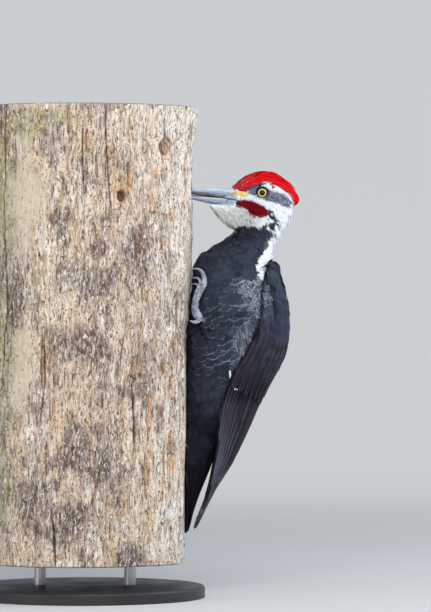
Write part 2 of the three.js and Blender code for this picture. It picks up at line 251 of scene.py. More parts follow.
# The bird's markings. Outlines are side views: millimetres behind and above the eye's centre.
marks = {
    "crest": [(-31, 4.6), (-27, 3.2), (-22.7, 1.7), (-17, 1.9), (-12.7, 4), (-8.4, 6.2), (-5.6, 7.8)]
    + [(-2.7, 9.4), (0.1, 10.8), (4.4, 11.2), (7.3, 10.2), (9.4, 8.0), (11.5, 5.2), (14.4, 4.2)]
    + [(18.7, 3.5), (23, 2), (26.6, -1.6), (29.4, -5.2), (31.2, -8.8), (33, -16)]
    + [(60, -16), (60, 40), (-40, 40), (-40, 8)],
    "slate": [(-13, 0.6), (-9, 4.5), (-4.5, 6.4), (1, 6), (5, 4.2), (8.5, 1.4), (15.5, -0.4)]
    + [(20.5, -1.8), (25, -5.4), (28.4, -10.4), (25, -16), (21.6, -15), (18.4, -12.4)]
    + [(13, -10.4), (7.3, -8.2), (2.6, -6.8), (-2, -5.8), (-5.4, -4), (-9, -2)],
    "malar": [(-27, -9), (-23.4, -7.6), (-17, -6.6), (-12.7, -7.2), (-7, -9.4), (-0.6, -12.2)]
    + [(3.7, -15), (5.9, -18), (5.6, -21.4), (3.2, -24), (-2, -25.4), (-5.6, -24.6)]
    + [(-11, -21.8), (-12.6, -18.6), (-17, -16.2), (-21.3, -13.8), (-25.6, -11.6)],
    "ear": [(6.5, -16.4), (10.4, -18.4), (13.4, -23.4), (16.5, -29), (17, -33.5), (12.4, -38.2)]
    + [(-3, -38.5), (1.5, -34.5), (6.4, -31.4), (6, -25.6), (4.6, -21.8)],
    "nasal": [(-37, 1.4), (-26, 1.0), (-18, 0.6), (-14, -2.4), (-18.5, -4.3), (-26, -3.2), (-37, -1.4)],
    "horn": [(-60, 3), (-36, 2), (-28.5, -2.5), (-26, -5), (-25.5, -6.8), (-27, -9.5), (-28, -12)]
    + [(-31, -13.4), (-40, -12.4), (-51, -10.8), (-60, -9)],
    "throat": [(-60, 6), (-36, 7), (-22, 1.5), (-10, 2), (0, 6), (3, 9.6), (8, 9.5), (12, 3.4)]
    + [(20, 3.4), (27, -1), (31, -9), (60, -18), (60, -60), (13, -61), (14, -52), (13, -44)]
    + [(8.4, -38.4), (3, -37), (-7, -35.6), (-17, -34.6), (-26, -34.6), (-60, -38)],
    "stripe": [(18, -30), (18.7, -38), (13.7, -41.6), (8, -44), (4.4, -47.4), (3.6, -51.7)]
    + [(0.2, -57.4), (-0.6, -62), (-3.8, -68), (-6.2, -73), (-6.8, -90), (-1, -91), (-1, -76)]
    + [(2, -76), (5, -74.5), (9, -71), (14, -67), (60, -66), (60, -20), (30, -20)],
    "fringes": [(-28, -90), (-14, -87), (0, -88), (4, -92), (5.6, -105), (1, -119), (-6, -127)]
    + [(-14, -116), (-19, -104)],
    "scallops": [(-62, -96), (-34, -88), (-4, -86), (2, -100), (-2, -122), (-14, -142), (-8, -152)]
    + [(-24, -166), (-31, -182), (-52, -184), (-62, -170)],
    "downy": [(-24, -134), (-16, -128), (-6, -148), (-8, -156), (-24, -166), (-28, -148)],
}


# The groove down each wing, where its coverts meet the feathers of the shoulder.
furrowWidth = 2.4
furrowLine = [(184, 312), (187, 300), (189.5, 285), (189, 268), (185, 252), (178, 236)]


def furrowAt(points):
    steps = zip(furrowLine[:-1], furrowLine[1:])
    gaps = [segmentDistance(points[:, 0], points[:, 2], start, end) for start, end in steps]
    return np.exp(-((np.min(gaps, 0) / furrowWidth) ** 2))


def markingsAt(points, ragged=0.8):
    # the face is symmetric, so only the distance behind and above the eye counts
    jitter = ragged * wobble(points, 5, 3) + 0.4 * ragged * wobble(points, 2, 4)
    across, above = sideEyed(points)
    x, z = across + jitter, above + ragged * wobble(points, 4, 5)
    height = points[:, 2]
    shadow = 0.7 * smooth(215, 175, height) + 0.3 * smooth(188, 160, height)  # low down, near the feet
    field = {name: patchMask(x, z, outline, 1.2) for name, outline in marks.items()}
    red = field["crest"]
    mottled = smooth(-0.6, -0.05, wobble(points, 4.5, 8) + 0.6 * wobble(points, 2.2, 9))
    slate = field["slate"] * (1 - red)
    malar = field["malar"] * (1 - red)
    white = np.maximum(field["throat"], field["stripe"]) * (1 - red) * (1 - slate) * (1 - malar)
    return {
        "red": red,
        "slate": slate,
        "malar": malar,
        "white": white * (1 - field["ear"] * mottled),
        "yellow": field["nasal"] * (1 - red),
        # painted shade on the white throat below the bill
        "chin": smooth(-6, -22, z) * smooth(14, -14, x) * field["throat"],
        "forehead": smooth(2, -24, x),
        "fringe": patchMask(x, z, marks["fringes"], 5),
        "scallop": patchMask(x, z, marks["scallops"], 7),
        "downy": patchMask(x, z, marks["downy"], 7),
        "horn": patchMask(across, above, marks["horn"], 0.5),
        "head": smooth(-40, -38, x) * smooth(-30, -25, z),
        # painted shade along the wing's groove, and painted shadow low down near the feet
        "furrow": np.maximum(furrowAt(points), shadow),
        # a painted bluish sheen over the back and the top of the wing
        "gloss": smooth(166, 184, points[:, 0]) * smooth(205, 262, height) * smooth(335, 312, height),
    }


def tones(**given):
    return {name: (*tone, 1) for name, tone in given.items()}


# A socket that takes part in Python arithmetic, each step adding its Math node.
class Value:
    def __init__(self, paint, socket):
        self.paint, self.socket = paint, socket

    def calc(self, operation, first, second):
        return self.paint.node("ShaderNodeMath", {"operation": operation}, {0: first, 1: second})

    def __add__(self, other):
        return self.calc("ADD", self, other)

    def __sub__(self, other):
        return self.calc("SUBTRACT", self, other)

    def __rsub__(self, other):
        return self.calc("SUBTRACT", other, self)

    def __mul__(self, other):
        return self.calc("MULTIPLY", self, other)

    def __truediv__(self, other):
        return self.calc("DIVIDE", self, other)

    def most(self, other):
        return self.calc("MAXIMUM", self, other)

    __radd__ = __add__
    __rmul__ = __mul__


class Paint:
    def __init__(self, tree):
        self.material = None
        if isinstance(tree, str):
            self.material = bpy.data.materials.new(tree)
            self.material.use_nodes = True
            tree = self.material.node_tree
        self.tree = tree
        self.tree.nodes.clear()

    def node(self, kind, settings=None, sockets=None, out=0):
        made = self.tree.nodes.new(kind)
        for key, value in (settings or {}).items():
            if key == "stops":
                self.setStops(made.color_ramp, value)
            else:
                setattr(made, key, value)
        for key, value in (sockets or {}).items():
            if isinstance(value, Value):
                self.tree.links.new(value.socket, made.inputs[key])
            else:
                made.inputs[key].default_value = value
        return Value(self, made.outputs[out]) if made.outputs else made

    def setStops(self, ramp, stops):
        while len(ramp.elements) < len(stops):
            ramp.elements.new(1)
        for element, (place, tone) in zip(ramp.elements, stops):
            element.position = place
            element.color = tone if len(tone) == 4 else (*tone, 1)

    def field(self, name):
        return self.node("ShaderNodeAttribute", {"attribute_name": name}, out="Fac")

    def place(self, scale=(1, 1, 1)):
        at = self.node("ShaderNodeTexCoord", out="Object")
        return self.node("ShaderNodeMapping", {}, {"Vector": at, "Scale": scale})

    def noise(self, vector, scale, detail=3.0, rough=0.5, out="Fac"):
        sockets = {"Vector": vector, "Scale": scale, "Detail": detail, "Roughness": rough}
        return self.node("ShaderNodeTexNoise", {}, sockets, out)

    def mix(self, factor, first, second, blend="MIX"):
        settings = {"data_type": "RGBA", "blend_type": blend, "clamp_factor": True}
        return self.node("ShaderNodeMix", settings, {0: factor, 6: first, 7: second}, out=2)

    def layered(self, color, coats):
        # each coat is a share and the tone that it lays over what is there
        for share, tone in coats:
            color = self.mix(share, color, tone)
        return color

    def span(self, value, low, high, toLow=0.0, toHigh=1.0):
        sockets = {"Value": value, "From Min": low, "From Max": high, "To Min": toLow, "To Max": toHigh}
        return self.node("ShaderNodeMapRange", {"clamp": True}, sockets)

    def ramp(self, value, stops):
        return self.node("ShaderNodeValToRGB", {"stops": stops}, {"Fac": value}, out="Color")

    def bump(self, height, strength, depth):
        sockets = {"Height": height, "Strength": strength, "Distance": depth * mm}
        return self.node("ShaderNodeBump", {}, sockets, out="Normal")

    def finish(self, sockets):
        shader = self.node("ShaderNodeBsdfPrincipled", {}, sockets, out="BSDF")
        self.node("ShaderNodeOutputMaterial", {}, {"Surface": shader})
        return self.material


# How far along X the trunk reaches at each height: the coat stays clear of that.
def measureTrunk():
    tree = surfaceOf(nodes["perch_trunk"].data)[0]
    heights = np.arange(trunkLow[2] + 2, trunkHigh[2] - 1, 3)
    reach = []
    for z in heights:
        hit = tree.ray_cast(Vector((0.3, 0, z * mm)), Vector((-1, 0, 0)))[0]
        reach.append(hit.x / mm if hit else 107)
    return heights, np.array(reach)


trunkHeights, trunkReach = measureTrunk()


def trunkAt(z):
    return np.interp(z, trunkHeights, trunkReach)


# The skin: one closed surface for torso, neck, head and crest, sunk by the depth of the coat.
skinBuild = {"voxel": 1.2, "rounds": 12, "grow": 0.3}
coatDepths = {"face": 1.2, "neck": 3.0, "body": 4.2, "crest": 1.6, "bill": 0.15}
breastFill = 2.8  # how far the upper breast swells beyond the CAD form
lidShape = {"reach": 8.0, "rim": 4.1, "crest": 4.5, "outer": 5.3, "proud": 0.4, "sink": 0.5}
fleshNodes = ["torso", "neck", "head", "crest"]


def coatDepth(points):
    s, away = coatDepths, fromEye(points)
    x, z = sideEyed(points)
    depth = s["face"] + (s["neck"] - s["face"]) * smooth(8, 42, away)
    depth += (s["body"] - s["neck"]) * smooth(50, 105, away)
    depth += s["crest"] * smooth(7, 14, z) * smooth(-24, -6, x)
    nearBill = smooth(-12, -36, x) * smooth(-50, -30, z)
    return depth + (s["bill"] - depth) * nearBill


def fullBreast(points, normals):
    rise = smooth(312, 352, points[:, 2]) * smooth(386, 352, points[:, 2])
    return breastFill * rise * smooth(0.1, 0.7, -normals[:, 0])


def refineNear(obj, reach, cuts):
    # splits the edges round each eye, a little nearer every time
    shape = bmesh.new()
    shape.from_mesh(obj.data)
    for _ in range(cuts):
        close = []
        for edge in shape.edges:
            at = (edge.verts[0].co + edge.verts[1].co) / 2 / mm
            if abs(at.y) > 5 and math.hypot(at.x - eyeAt[0], at.z - eyeAt[2]) < reach:
                close.append(edge)
        bmesh.ops.subdivide_edges(shape, edges=close, cuts=1, use_grid_fill=True, smooth=0.3)
        reach -= 1.2
    bmesh.ops.triangulate(shape, faces=shape.faces[:])
    shape.to_mesh(obj.data)
    shape.free()


# Lids: a raised rim that hugs the eyeball, then falls to the face.
def shapeLids(points):
    s = lidShape
    low, high = boxOf("eye_left")
    ball = (high[2] - low[2]) / 2
    x, z = sideEyed(points)
    away = np.hypot(x, z * 1.05)
    near = (away < s["reach"]) & (np.abs(points[:, 1]) > 5)
    r = away[near]
    face = np.abs(points[near, 1])
    over = abs(eyeAt[1]) + np.sqrt(np.maximum(ball**2 - r**2, 1))
    lid = over + s["proud"] * smooth(s["rim"] - 0.2, s["crest"], r)
    lid = np.where(r < s["rim"], over - s["sink"], lid)
    blend = smooth(s["crest"], s["outer"], r)
    lid = lid + (np.minimum(lid, face + 0.9) - lid) * blend
    blend = smooth(s["outer"] - 0.6, s["reach"], r)
    points[near, 1] = np.sign(points[near, 1]) * (lid + (face - lid) * blend)
    return points


skin = fused("skin_bird", fleshNodes, **skinBuild)
skinPoints, outward = pointsOf(skin.data), normalsOf(skin.data)
skinPoints -= outward * (coatDepth(skinPoints) - fullBreast(skinPoints, outward))[:, None]
setPoints(skin.data, skinPoints)
refineNear(skin, lidShape["reach"] + 2.5, 3)
setPoints(skin.data, shapeLids(pointsOf(skin.data)))
skinSurface = surfaceOf(skin.data)
skinTree, skinPoints, skinFaces = skinSurface
print("skin:", len(skinFaces), "triangles")

# Each wing has a thin form under its feathers, sunk further along the furrow.
wingBuild = {"voxel": 0.9, "rounds": 6, "grow": 0.25}
wingSink = {"tip": 0.5, "upper": 1.5, "furrow": 2.6}
tailBuild = {"voxel": 0.8, "rounds": 3, "grow": 0.3}


def makeWingForm(side):
    form = fused(f"wing_{side}_form", [f"wing_{side}"], **wingBuild)
    points = pointsOf(form.data)
    sink = wingSink["tip"] + (wingSink["upper"] - wingSink["tip"]) * smooth(70, 150, points[:, 2])
    sink = sink + wingSink["furrow"] * furrowAt(points)
    points -= normalsOf(form.data) * sink[:, None]
    setPoints(form.data, points)
    return form


wingForms = {side: makeWingForm(side) for side in signs}
tailForm = fused("tail_form", ["tail"], **tailBuild)


def pressTail():
    # the tail braces against the trunk, its front face following the bark
    points, normals = pointsOf(tailForm.data), normalsOf(tailForm.data)
    bark = trunkAt(points[:, 2]) + 0.3
    reach = smooth(0.05, 0.5, -normals[:, 0]) * (np.abs(points[:, 1]) < 30)
    points[:, 0] += (np.maximum(bark, points[:, 0] - 3.5) - points[:, 0]) * reach
    setPoints(tailForm.data, points)


pressTail()
setPoints(tailForm.data, pointsOf(tailForm.data) - normalsOf(tailForm.data) * 0.5)
birdSurface = surfaceOf(skin.data, *(form.data for form in wingForms.values()), tailForm.data)
birdTree, birdPoints, birdFaces = birdSurface

# The lie of the coat in the side view: x and z of a place, then the way feathers point there.
lie = [(150, 400, 1, 0.15), (160, 418, 1, 0.9), (180, 422, 1, 0), (200, 412, 0.8, -0.6)]
lie += [(175, 395, 1, -0.25), (195, 390, 0.6, -0.8), (138, 388, 0.55, -0.8), (146, 376, 0.45, -0.9)]
lie += [(165, 370, 0.6, -0.8), (203, 385, 0, -1), (175, 355, 0.1, -1), (140, 350, -0.4, -0.9)]
lie += [(125, 330, -0.3, -0.95), (130, 290, 0.1, -1), (195, 320, 0.15, -1), (203, 280, 0, -1)]
lie += [(190, 220, -0.4, -0.9), (120, 220, 0, -1), (115, 170, -0.1, -1), (130, 100, -0.3, -1)]
lie += [(173, 304, 0.95, -0.6), (170, 284, 0.45, -0.9), (189, 300, 0.05, -1), (166, 264, 0.6, -0.8)]
lie += [(156, 262, 0.2, -1), (148, 250, -0.05, -1), (168, 248, 0.45, -0.9), (150, 230, 0, -1)]
lie = np.array(lie)


def flowAt(points, normals):
    gap = points[:, None, [0, 2]] - lie[None, :, :2]
    weight = 1 / ((gap**2).sum(2) + 36) ** 2
    aim = weight @ unit(lie[:, 2:])
    along = unit(np.stack([aim[:, 0], np.zeros(len(points)), aim[:, 1]], 1))
    return unit(along - normals * (along * normals).sum(1, keepdims=True))


# Where on an unwrap of the body a tuft's patch lies: the angle round it, and the height.
bakeBand = {"low": trunkLow[2], "high": eyeAt[2] + 40}


def unwrapOf(points):
    middle = np.interp(points[:, 2], [60, 150, 250, 340, 400], [112, 120, 152, 158, 176])
    angle = np.arctan2(points[:, 1], points[:, 0] - middle)
    height = (points[:, 2] - bakeBand["low"]) / (bakeBand["high"] - bakeBand["low"])
    return np.stack([0.004 + 0.99 * (angle / (2 * math.pi) + 0.5), 0.004 + 0.98 * height], 1)


keepOff = {"trunkGap": 0.25, "lidGap": 5.0}  # feathers stop short of the trunk and of the lids


def keepClear(points):
    beside = np.abs(points[:, 1]) < 60
    clear = np.maximum(points[:, 0], trunkAt(points[:, 2]) + keepOff["trunkGap"])
    points[:, 0] = np.where(beside, clear, points[:, 0])
    x, z = sideEyed(points)
    away = np.hypot(x, z)
    held = (away < keepOff["lidGap"]) & (np.abs(points[:, 1]) > 6)
    push = np.where(held, keepOff["lidGap"] / np.maximum(away, 0.1), 1)
    points[:, 0] = eyeAt[0] + x * push
    points[:, 2] = eyeAt[2] + z * push
    return points


# What a style of feather is unless it says otherwise. Ends are round by "round" and ragged by
# "fray"; "narrow" is the width at the root, "sole" the height there, reached in full by "riseBy".
featherBase = dict(
    round=0.35, fray=0.1, narrow=0.35, close=0.0, sole=0.12, riseBy=0.75, tipLift=0, rough=0.12,
    uneven=0.15, lean=0.35, fill=0.62, follow=0.5, ragged=0.8, plain=False,
)


# The way of each feather over the skin: places, directions out of the skin, and across the feather.
def followSkin(tree, roots, normals, forward, step, stations, follow):
    path, lifts, sides = np.empty((3, len(roots), stations, 3))
    at, out, going = roots.copy(), normals.copy(), forward.copy()
    for index in range(stations):
        path[:, index], lifts[:, index] = at, out
        sides[:, index] = unit(np.cross(out, going))
        if index == stations - 1:
            break
        at, out, _ = nearestOn(tree, at + going * step)
        steer = flowAt(at, out) if follow else going
        going = going + (steer - going) * follow
        going = unit(going - out * (going * out).sum(1, keepdims=True))
    return path, lifts, sides


# Feathers as bundles of barbs. Each follows the skin from its root, rises to the coat's depth,
# fans out and ends round. All feathers of one style are made at once.
def growFeathers(style, roots, normals, forward, length, width, depth, tree=None):
    tree, s = tree or skinTree, featherBase | style
    count, stations, strands, rows = len(roots), s["stations"], s["strands"], s["rows"]
    step = (length / (stations - 1))[:, None]
    path, lifts, sides = followSkin(tree, roots, normals, forward, step, stations, s["follow"])
    half = sides * (width[:, None, None] / 2)

    across = (np.arange(strands) + 0.5) / strands * 2 - 1
    across = np.broadcast_to(across, (count, strands))
    across = across + draw.normal(0, 0.35 / strands, across.shape)
    ends = 1 - s["round"] * across**2 - draw.random(across.shape) * s["fray"]
    reach = np.linspace(0, 1, rows + 1)[None, None] * ends[..., None]
    spread = s["narrow"] + (1 - s["narrow"]) * smooth(0, 0.5, reach)
    spread = spread * (1 - s["close"] * reach**3)
    lateral = across[..., None] * spread

    place = np.clip(reach * (stations - 1), 0, stations - 1.001)
    below = place.astype(int)
    part = (place - below)[..., None]
    who = np.arange(count)[:, None, None]
    u = lateral[..., None]

    def between(grid):
        grid = grid.reshape(path.shape)
        return grid[who, below] * (1 - part) + grid[who, below + 1] * part

    def bent(middle, right, left):
        middle, right, left = between(middle), between(right), between(left)
        return middle * (1 - u * u) + right * (u * u + u) / 2 + left * (u * u - u) / 2

    left, leftOut, _ = nearestOn(tree, (path - half).reshape(-1, 3))
    right, rightOut, _ = nearestOn(tree, (path + half).reshape(-1, 3))
    surface = bent(path, right, left)
    outward = unit(bent(lifts, rightOut, leftOut))
    rise = s["sole"] + (1 - s["sole"]) * smooth(0, s["riseBy"], reach)
    height = depth[:, None, None] * rise * (1 + 0.1 * (0.4 - lateral**2))
    height = height + s["tipLift"] * reach**3 + draw.normal(0, s["rough"], (count, strands, 1)) * reach
    height = height + draw.normal(0, s["uneven"], (count, 1, 1)) * reach
    spine = surface + outward * np.maximum(height, 0.02)[..., None]

    lane = unit(between(sides))
    lane = unit(lane + outward * draw.normal(0, s["lean"], (count, strands, 1, 1)))
    share = reach / ends[..., None]
    broad = (width[:, None, None] / strands) * s["fill"] * spread * (1 - 0.8 * share**3)
    edges = np.stack([spine - lane * broad[..., None], spine + lane * broad[..., None]], 3)
    base = np.arange(count * strands)[:, None] * (rows + 1) * 2 + np.arange(rows)[None] * 2
    faces = np.stack([base, base + 1, base + 3, base + 2], -1).reshape(-1, 4)

    def each(values):
        return np.broadcast_to(values, (count, strands, rows + 1, 2)).ravel()

    fields = {"along": each((reach / np.maximum(ends[..., None], 0.1))[..., None])}
    fields["across"] = each(np.abs(lateral)[..., None])
    fields["hue"] = each(draw.random((count, 1, 1, 1)))
    fields["barb"] = each(draw.random((count, strands, 1, 1)))
    tone = markingsAt(path[:, min(stations - 1, int(stations * 0.65))], s["ragged"])
    for name, values in tone.items():
        # plain feathers keep only the painted shade and the painted sheen
        shown = not s["plain"] or name in ("furrow", "gloss")
        fields[name] = each(values[:, None, None, None] * shown)
    patchU = 0.0015 * lateral[..., None] + 0.0004 * np.array([-1, 1]) / strands
    patchV = 0.003 * reach[..., None] + 0 * patchU
    patch = unwrapOf(roots)[:, None, None, None] + np.stack([patchU, patchV], -1)
    points = keepClear(edges.reshape(-1, 3))
    return {"points": points, "faces": faces, "fields": fields, "patch": patch.reshape(-1, 2)}


def plant(name, batch, material, node):
    obj = meshFrom(name, batch["points"], batch["faces"], material, batch["fields"], batch["patch"])
    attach(obj, "root")
    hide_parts(node)
    print(name + ":", len(batch["faces"]) * 2, "triangles")


pieceLimit = 185000  # triangles


def growPart(name, style, roots, normals, length, width, depth, node, tree=None):
    # grows in as many pieces as keep each under the limit, from the lowest feather up
    each = style["strands"] * style["rows"] * 2
    pieces = math.ceil(len(roots) * each / pieceLimit)
    order = np.argsort(roots[:, 2], kind="stable")
    for number, part in enumerate(np.array_split(order, pieces)):
        at, out = roots[part], normals[part]
        batch = growFeathers(style, at, out, flowAt(at, out), length[part], width[part], depth[part], tree)
        plant(f"{name}_{number + 1}", batch, plumage, node)


neighbours = list(itertools.product((-1, 0, 1), repeat=3))


# Roots spread over chosen faces no closer than the spacing, which is a length or a rule for places.
def scatterRoots(surface, chosen, spacing, tries):
    tree, points, faces = surface
    a, b, c = (points[faces[chosen][:, corner]] for corner in range(3))
    area = np.linalg.norm(np.cross(b - a, c - a), axis=1)
    pick = draw.choice(len(area), tries, p=area / area.sum())
    s, t = np.sqrt(draw.random(tries)), draw.random(tries)
    spots = a[pick] * (1 - s)[:, None] + b[pick] * (s * (1 - t))[:, None] + c[pick] * (s * t)[:, None]
    radius = spacing(spots) if callable(spacing) else np.full(tries, spacing)
    cell = float(radius.max())
    taken, kept = {}, []
    for index, (spot, need) in enumerate(zip(spots.tolist(), radius.tolist())):
        key = [int(place // cell) for place in spot]
        near = [taken.get((key[0] + i, key[1] + j, key[2] + k), ()) for i, j, k in neighbours]
        gaps = [math.dist(spot, other) for other in itertools.chain(*near)]
        if min(gaps, default=need) >= need:
            taken.setdefault(tuple(key), []).append(spot)
            kept.append(index)
    return nearestOn(tree, spots[kept])


# Plumage colours, in linear light. Skin and coat read the same fields.
plumageTones = tones(
    black=(0.008, 0.010, 0.016), slateBlack=(0.052, 0.063, 0.100), hem=(0.085, 0.094, 0.125),
    frost=(0.60, 0.69, 0.87), white=(0.90, 0.94, 1.0), whiteShade=(0.50, 0.56, 0.66),
    chin=(0.49, 0.50, 0.44), crest=(0.86, 0.010, 0.015), crestDeep=(0.60, 0.006, 0.010),
    forehead=(0.36, 0.030, 0.040), foreheadFleck=(0.48, 0.27, 0.26), horn=(0.20, 0.25, 0.34),
    hornLight=(0.48, 0.56, 0.66), gloss=(0.050, 0.062, 0.104), malar=(0.29, 0.005, 0.014),
    malarDeep=(0.085, 0.002, 0.006), slate=(0.105, 0.120, 0.165), slateLight=(0.34, 0.38, 0.46),
    yellow=(0.90, 0.56, 0.06), cream=(0.86, 0.74, 0.36),
)
gape = {"slope": -0.14, "height": -10.6, "end": -23.0}  # the mouth's line behind the bill, from the eye


def plumagePaint():
    p, c = Paint("plumage"), plumageTones
    along, hue, barb = p.field("along"), p.field("hue"), p.field("barb")
    red, slate, malar = p.field("red"), p.field("slate"), p.field("malar")
    white, yellow, chin = p.field("white"), p.field("yellow"), p.field("chin")
    front = p.mix(p.span(barb, 0.72, 0.95) * p.span(along, 0.45, 0.8), c["forehead"], c["foreheadFleck"])
    reds = p.mix(barb * 0.5 + hue * 0.5, c["crestDeep"], c["crest"])
    reds = p.mix(p.field("forehead") * (hue * 0.6 + 0.35), reds, front)
    whites = p.mix(p.span(barb, 0.5, 1.0) * (p.field("head") * 0.45 + 0.2), c["white"], c["whiteShade"])
    # painted shade on the throat below the bill, in grey-green
    whites = p.mix(chin * (p.span(barb, 0.2, 0.9) * 0.6 + 0.35), whites, c["chin"])
    slates = p.mix(p.span(barb, 0.45, 0.95), c["slate"], c["slateLight"])
    malars = p.mix(barb * 0.7 + hue * 0.3, c["malarDeep"], c["malar"])
    horny = p.span(p.noise(p.place((0.12, 1, 1)), 700, 3, 0.6), 0.35, 0.65)

    mottle = p.span(p.noise(p.place(), 55, 3, 0.6), 0.35, 0.7)
    fringe, furrow = p.field("fringe"), p.field("furrow")
    downy = p.field("downy") * (p.span(barb, 0.3, 0.95) * 0.75 + 0.08) * p.span(along, 0.2, 0.8)
    downy = downy.most(fringe * p.span(barb, 0.2, 0.9) * 0.4)
    tip = p.span(along, 0.92, 0.965) * p.span(p.noise(p.place((0.3, 0.3, 1.3)), 110, 2, 0.5), 0.44, 0.53)
    tip = tip * p.field("scallop") * (p.span(hue, 0.1, 0.6) * 0.7 + 0.3) * (barb * 0.4 + 0.3)
    rim = p.span(along, 0.86, 0.93).most(p.span(p.field("across"), 0.8, 0.92) * p.span(along, 0.35, 0.6))
    bar = p.span(along, 0.60, 0.64) * p.span(along, 0.72, 0.68) * fringe * p.span(hue, 0.4, 0.6)

    # painted shade along the line of the gape behind the bill
    at = p.node("ShaderNodeTexCoord", out="Object")
    ahead = p.node("ShaderNodeSeparateXYZ", {}, {0: at}, "X") / mm - float(eyeAt[0])
    above = p.node("ShaderNodeSeparateXYZ", {}, {0: at}, "Z") / mm - float(eyeAt[2])
    line = above - ahead * gape["slope"] - gape["height"]
    line = p.node("ShaderNodeMath", {"operation": "ABSOLUTE"}, {0: line})
    mouth = p.span(line, 0.6, 0.3) * p.span(ahead, gape["end"], gape["end"] - 2) * p.field("head")
    color = p.layered(c["black"], [
        (hue * 0.4 + barb * 0.3 + mottle * 0.35, c["slateBlack"]),
        (p.span(along, 0.86, 0.95) * (barb * 0.5 + 0.15), c["hem"]),
        # painted sheen
        (p.field("gloss") * (hue * 0.5 + barb * 0.2 + 0.1), c["gloss"]),
        # painted shade in the wing's groove and low on the body
        (furrow * 0.9, c["black"]),
        (downy, c["slateLight"]),
        (tip, c["frost"]),
        (rim * fringe * (barb * 0.5 + 0.45), c["frost"]),
        (bar * 0.8, c["whiteShade"]),
        (white, whites),
        (slate, slates),
        (malar, malars),
        (yellow, p.mix(hue, c["yellow"], c["cream"])),
        (red, reds),
        (p.field("horn"), p.mix(horny, c["horn"], c["hornLight"])),
        # painted shade of the gape
        (mouth * 0.92, c["black"]),
    ])
    # painted shade toward the root of each feather, where it lies under the ones above
    rootShade = p.span(along, 0.0, 0.5) + white * 0.5 + p.field("horn")
    color = p.mix(1.0, color, p.ramp(rootShade, [(0, (0.6, 0.6, 0.6)), (1, (1, 1, 1))]), "MULTIPLY")
    dark = (1 - white) * (1 - red)
    return p.finish({
        "Base Color": color,
        "Roughness": 0.68 - dark * 0.08 + barb * 0.1 - p.field("horn") * 0.3,
        "Specular IOR Level": 0.06,
    })


plumage = plumagePaint()


# Colours of the skin itself: the same marks, with the bare rim round each eye.
def finishSkin():
    tone = markingsAt(skinPoints)
    away = fromEye(skinPoints)
    bare = smooth(5.6, 5.0, away) * (np.abs(skinPoints[:, 1]) > 6)
    for name, values in tone.items():
        values = values * (1 - bare)
        addField(skin.data, name, np.maximum(values, bare) if name == "slate" else values)
    for name, value in {"along": 0.5, "hue": 0.3, "barb": 0.15}.items():
        addField(skin.data, name, np.full(len(skinPoints), value))
    skin.data.materials.append(plumage)
    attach(skin, "root")
    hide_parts(*fleshNodes)


finishSkin()

faceCentres = skinPoints[skinFaces].mean(1)
faceX, faceZ = sideEyed(faceCentres)
faceAway = np.hypot(faceX, faceZ)
fromMark = {name: outlineDistance(faceX, faceZ, marks[name]) for name in ("crest", "horn", "nasal")}
topOfHead = fromMark["crest"] < 0.6
nasalHere = (faceX < -13) & (faceZ > -5) & (faceZ < 7) & (fromMark["horn"] > -6)
nasalHere &= (fromMark["nasal"] < 0.8) | (faceX < -22)
onFace = (faceAway > 5.1) & (faceZ > -46) & ~topOfHead & ~nasalHere & (fromMark["horn"] > 0.3)
crestStyle = dict(
    stations=6, strands=4, rows=6, fray=0.18, round=0.2, narrow=0.5, close=0.35, rough=0.1, uneven=0.22,
    tipLift=0.15, sole=0.2, riseBy=0.5, fill=0.66,
)
faceStyle = dict(
    stations=4, strands=4, rows=4, fray=0.2, round=0.25, narrow=0.5, close=0.3, rough=0.07, uneven=0.08,
    sole=0.2, riseBy=0.6, fill=0.66,
)
headGrowth = dict(
    faceLength=3.6, cheekLength=8.0, faceWidth=1.5, cheekWidth=3.0, crestLength=9.0, crownLength=19.0,
    crestWidth=2.3,
)


def growHead():
    g = headGrowth

    def faceSpacing(at):
        return 1.05 + 0.9 * smooth(10, 38, fromEye(at)) - 0.25 * smooth(-18, -34, at[:, 0] - eyeAt[0])

    roots, normals, _ = scatterRoots(skinSurface, onFace, faceSpacing, 30000)
    far = smooth(8, 34, fromEye(roots)) * (1 - 0.5 * smooth(-18, -32, roots[:, 0] - eyeAt[0]))
    scale = draw.uniform(0.8, 1.2, len(roots))
    length = (g["faceLength"] + (g["cheekLength"] - g["faceLength"]) * far) * scale
    width = g["faceWidth"] + (g["cheekWidth"] - g["faceWidth"]) * far
    depth = coatDepth(roots) * draw.uniform(0.8, 1.15, len(roots))
    face = growFeathers(faceStyle, roots, normals, flowAt(roots, normals), length, width, depth)
    plant("coat_face", face, plumage, "head")

    def crestSpacing(at):
        return 1.15 + 0.6 * smooth(-26, 5, at[:, 0] - eyeAt[0])

    roots, normals, _ = scatterRoots(skinSurface, topOfHead, crestSpacing, 24000)
    back = smooth(-26, 12, roots[:, 0] - eyeAt[0])
    scale = draw.uniform(0.75, 1.15, len(roots))
    length = (g["crestLength"] + (g["crownLength"] - g["crestLength"]) * back) * scale
    length = np.minimum(length, 3 + np.maximum(boxOf("crest")[1][0] - roots[:, 0], 0) * 1.3)
    width = g["crestWidth"] * (0.6 + 0.5 * back)
    depth = coatDepth(roots) * draw.uniform(0.8, 1.1, len(roots))
    crest = growFeathers(crestStyle, roots, normals, flowAt(roots, normals), length, width, depth)
    plant("coat_crest", crest, plumage, "crest")


growHead()


# Bristles at the nostrils lie forward over the base of the bill.
nasalStyle = dict(
    stations=5, strands=3, rows=5, fray=0.25, round=0.1, narrow=0.6, close=0.4, riseBy=0.5, fill=0.6,
    follow=0, sole=0.3,
)


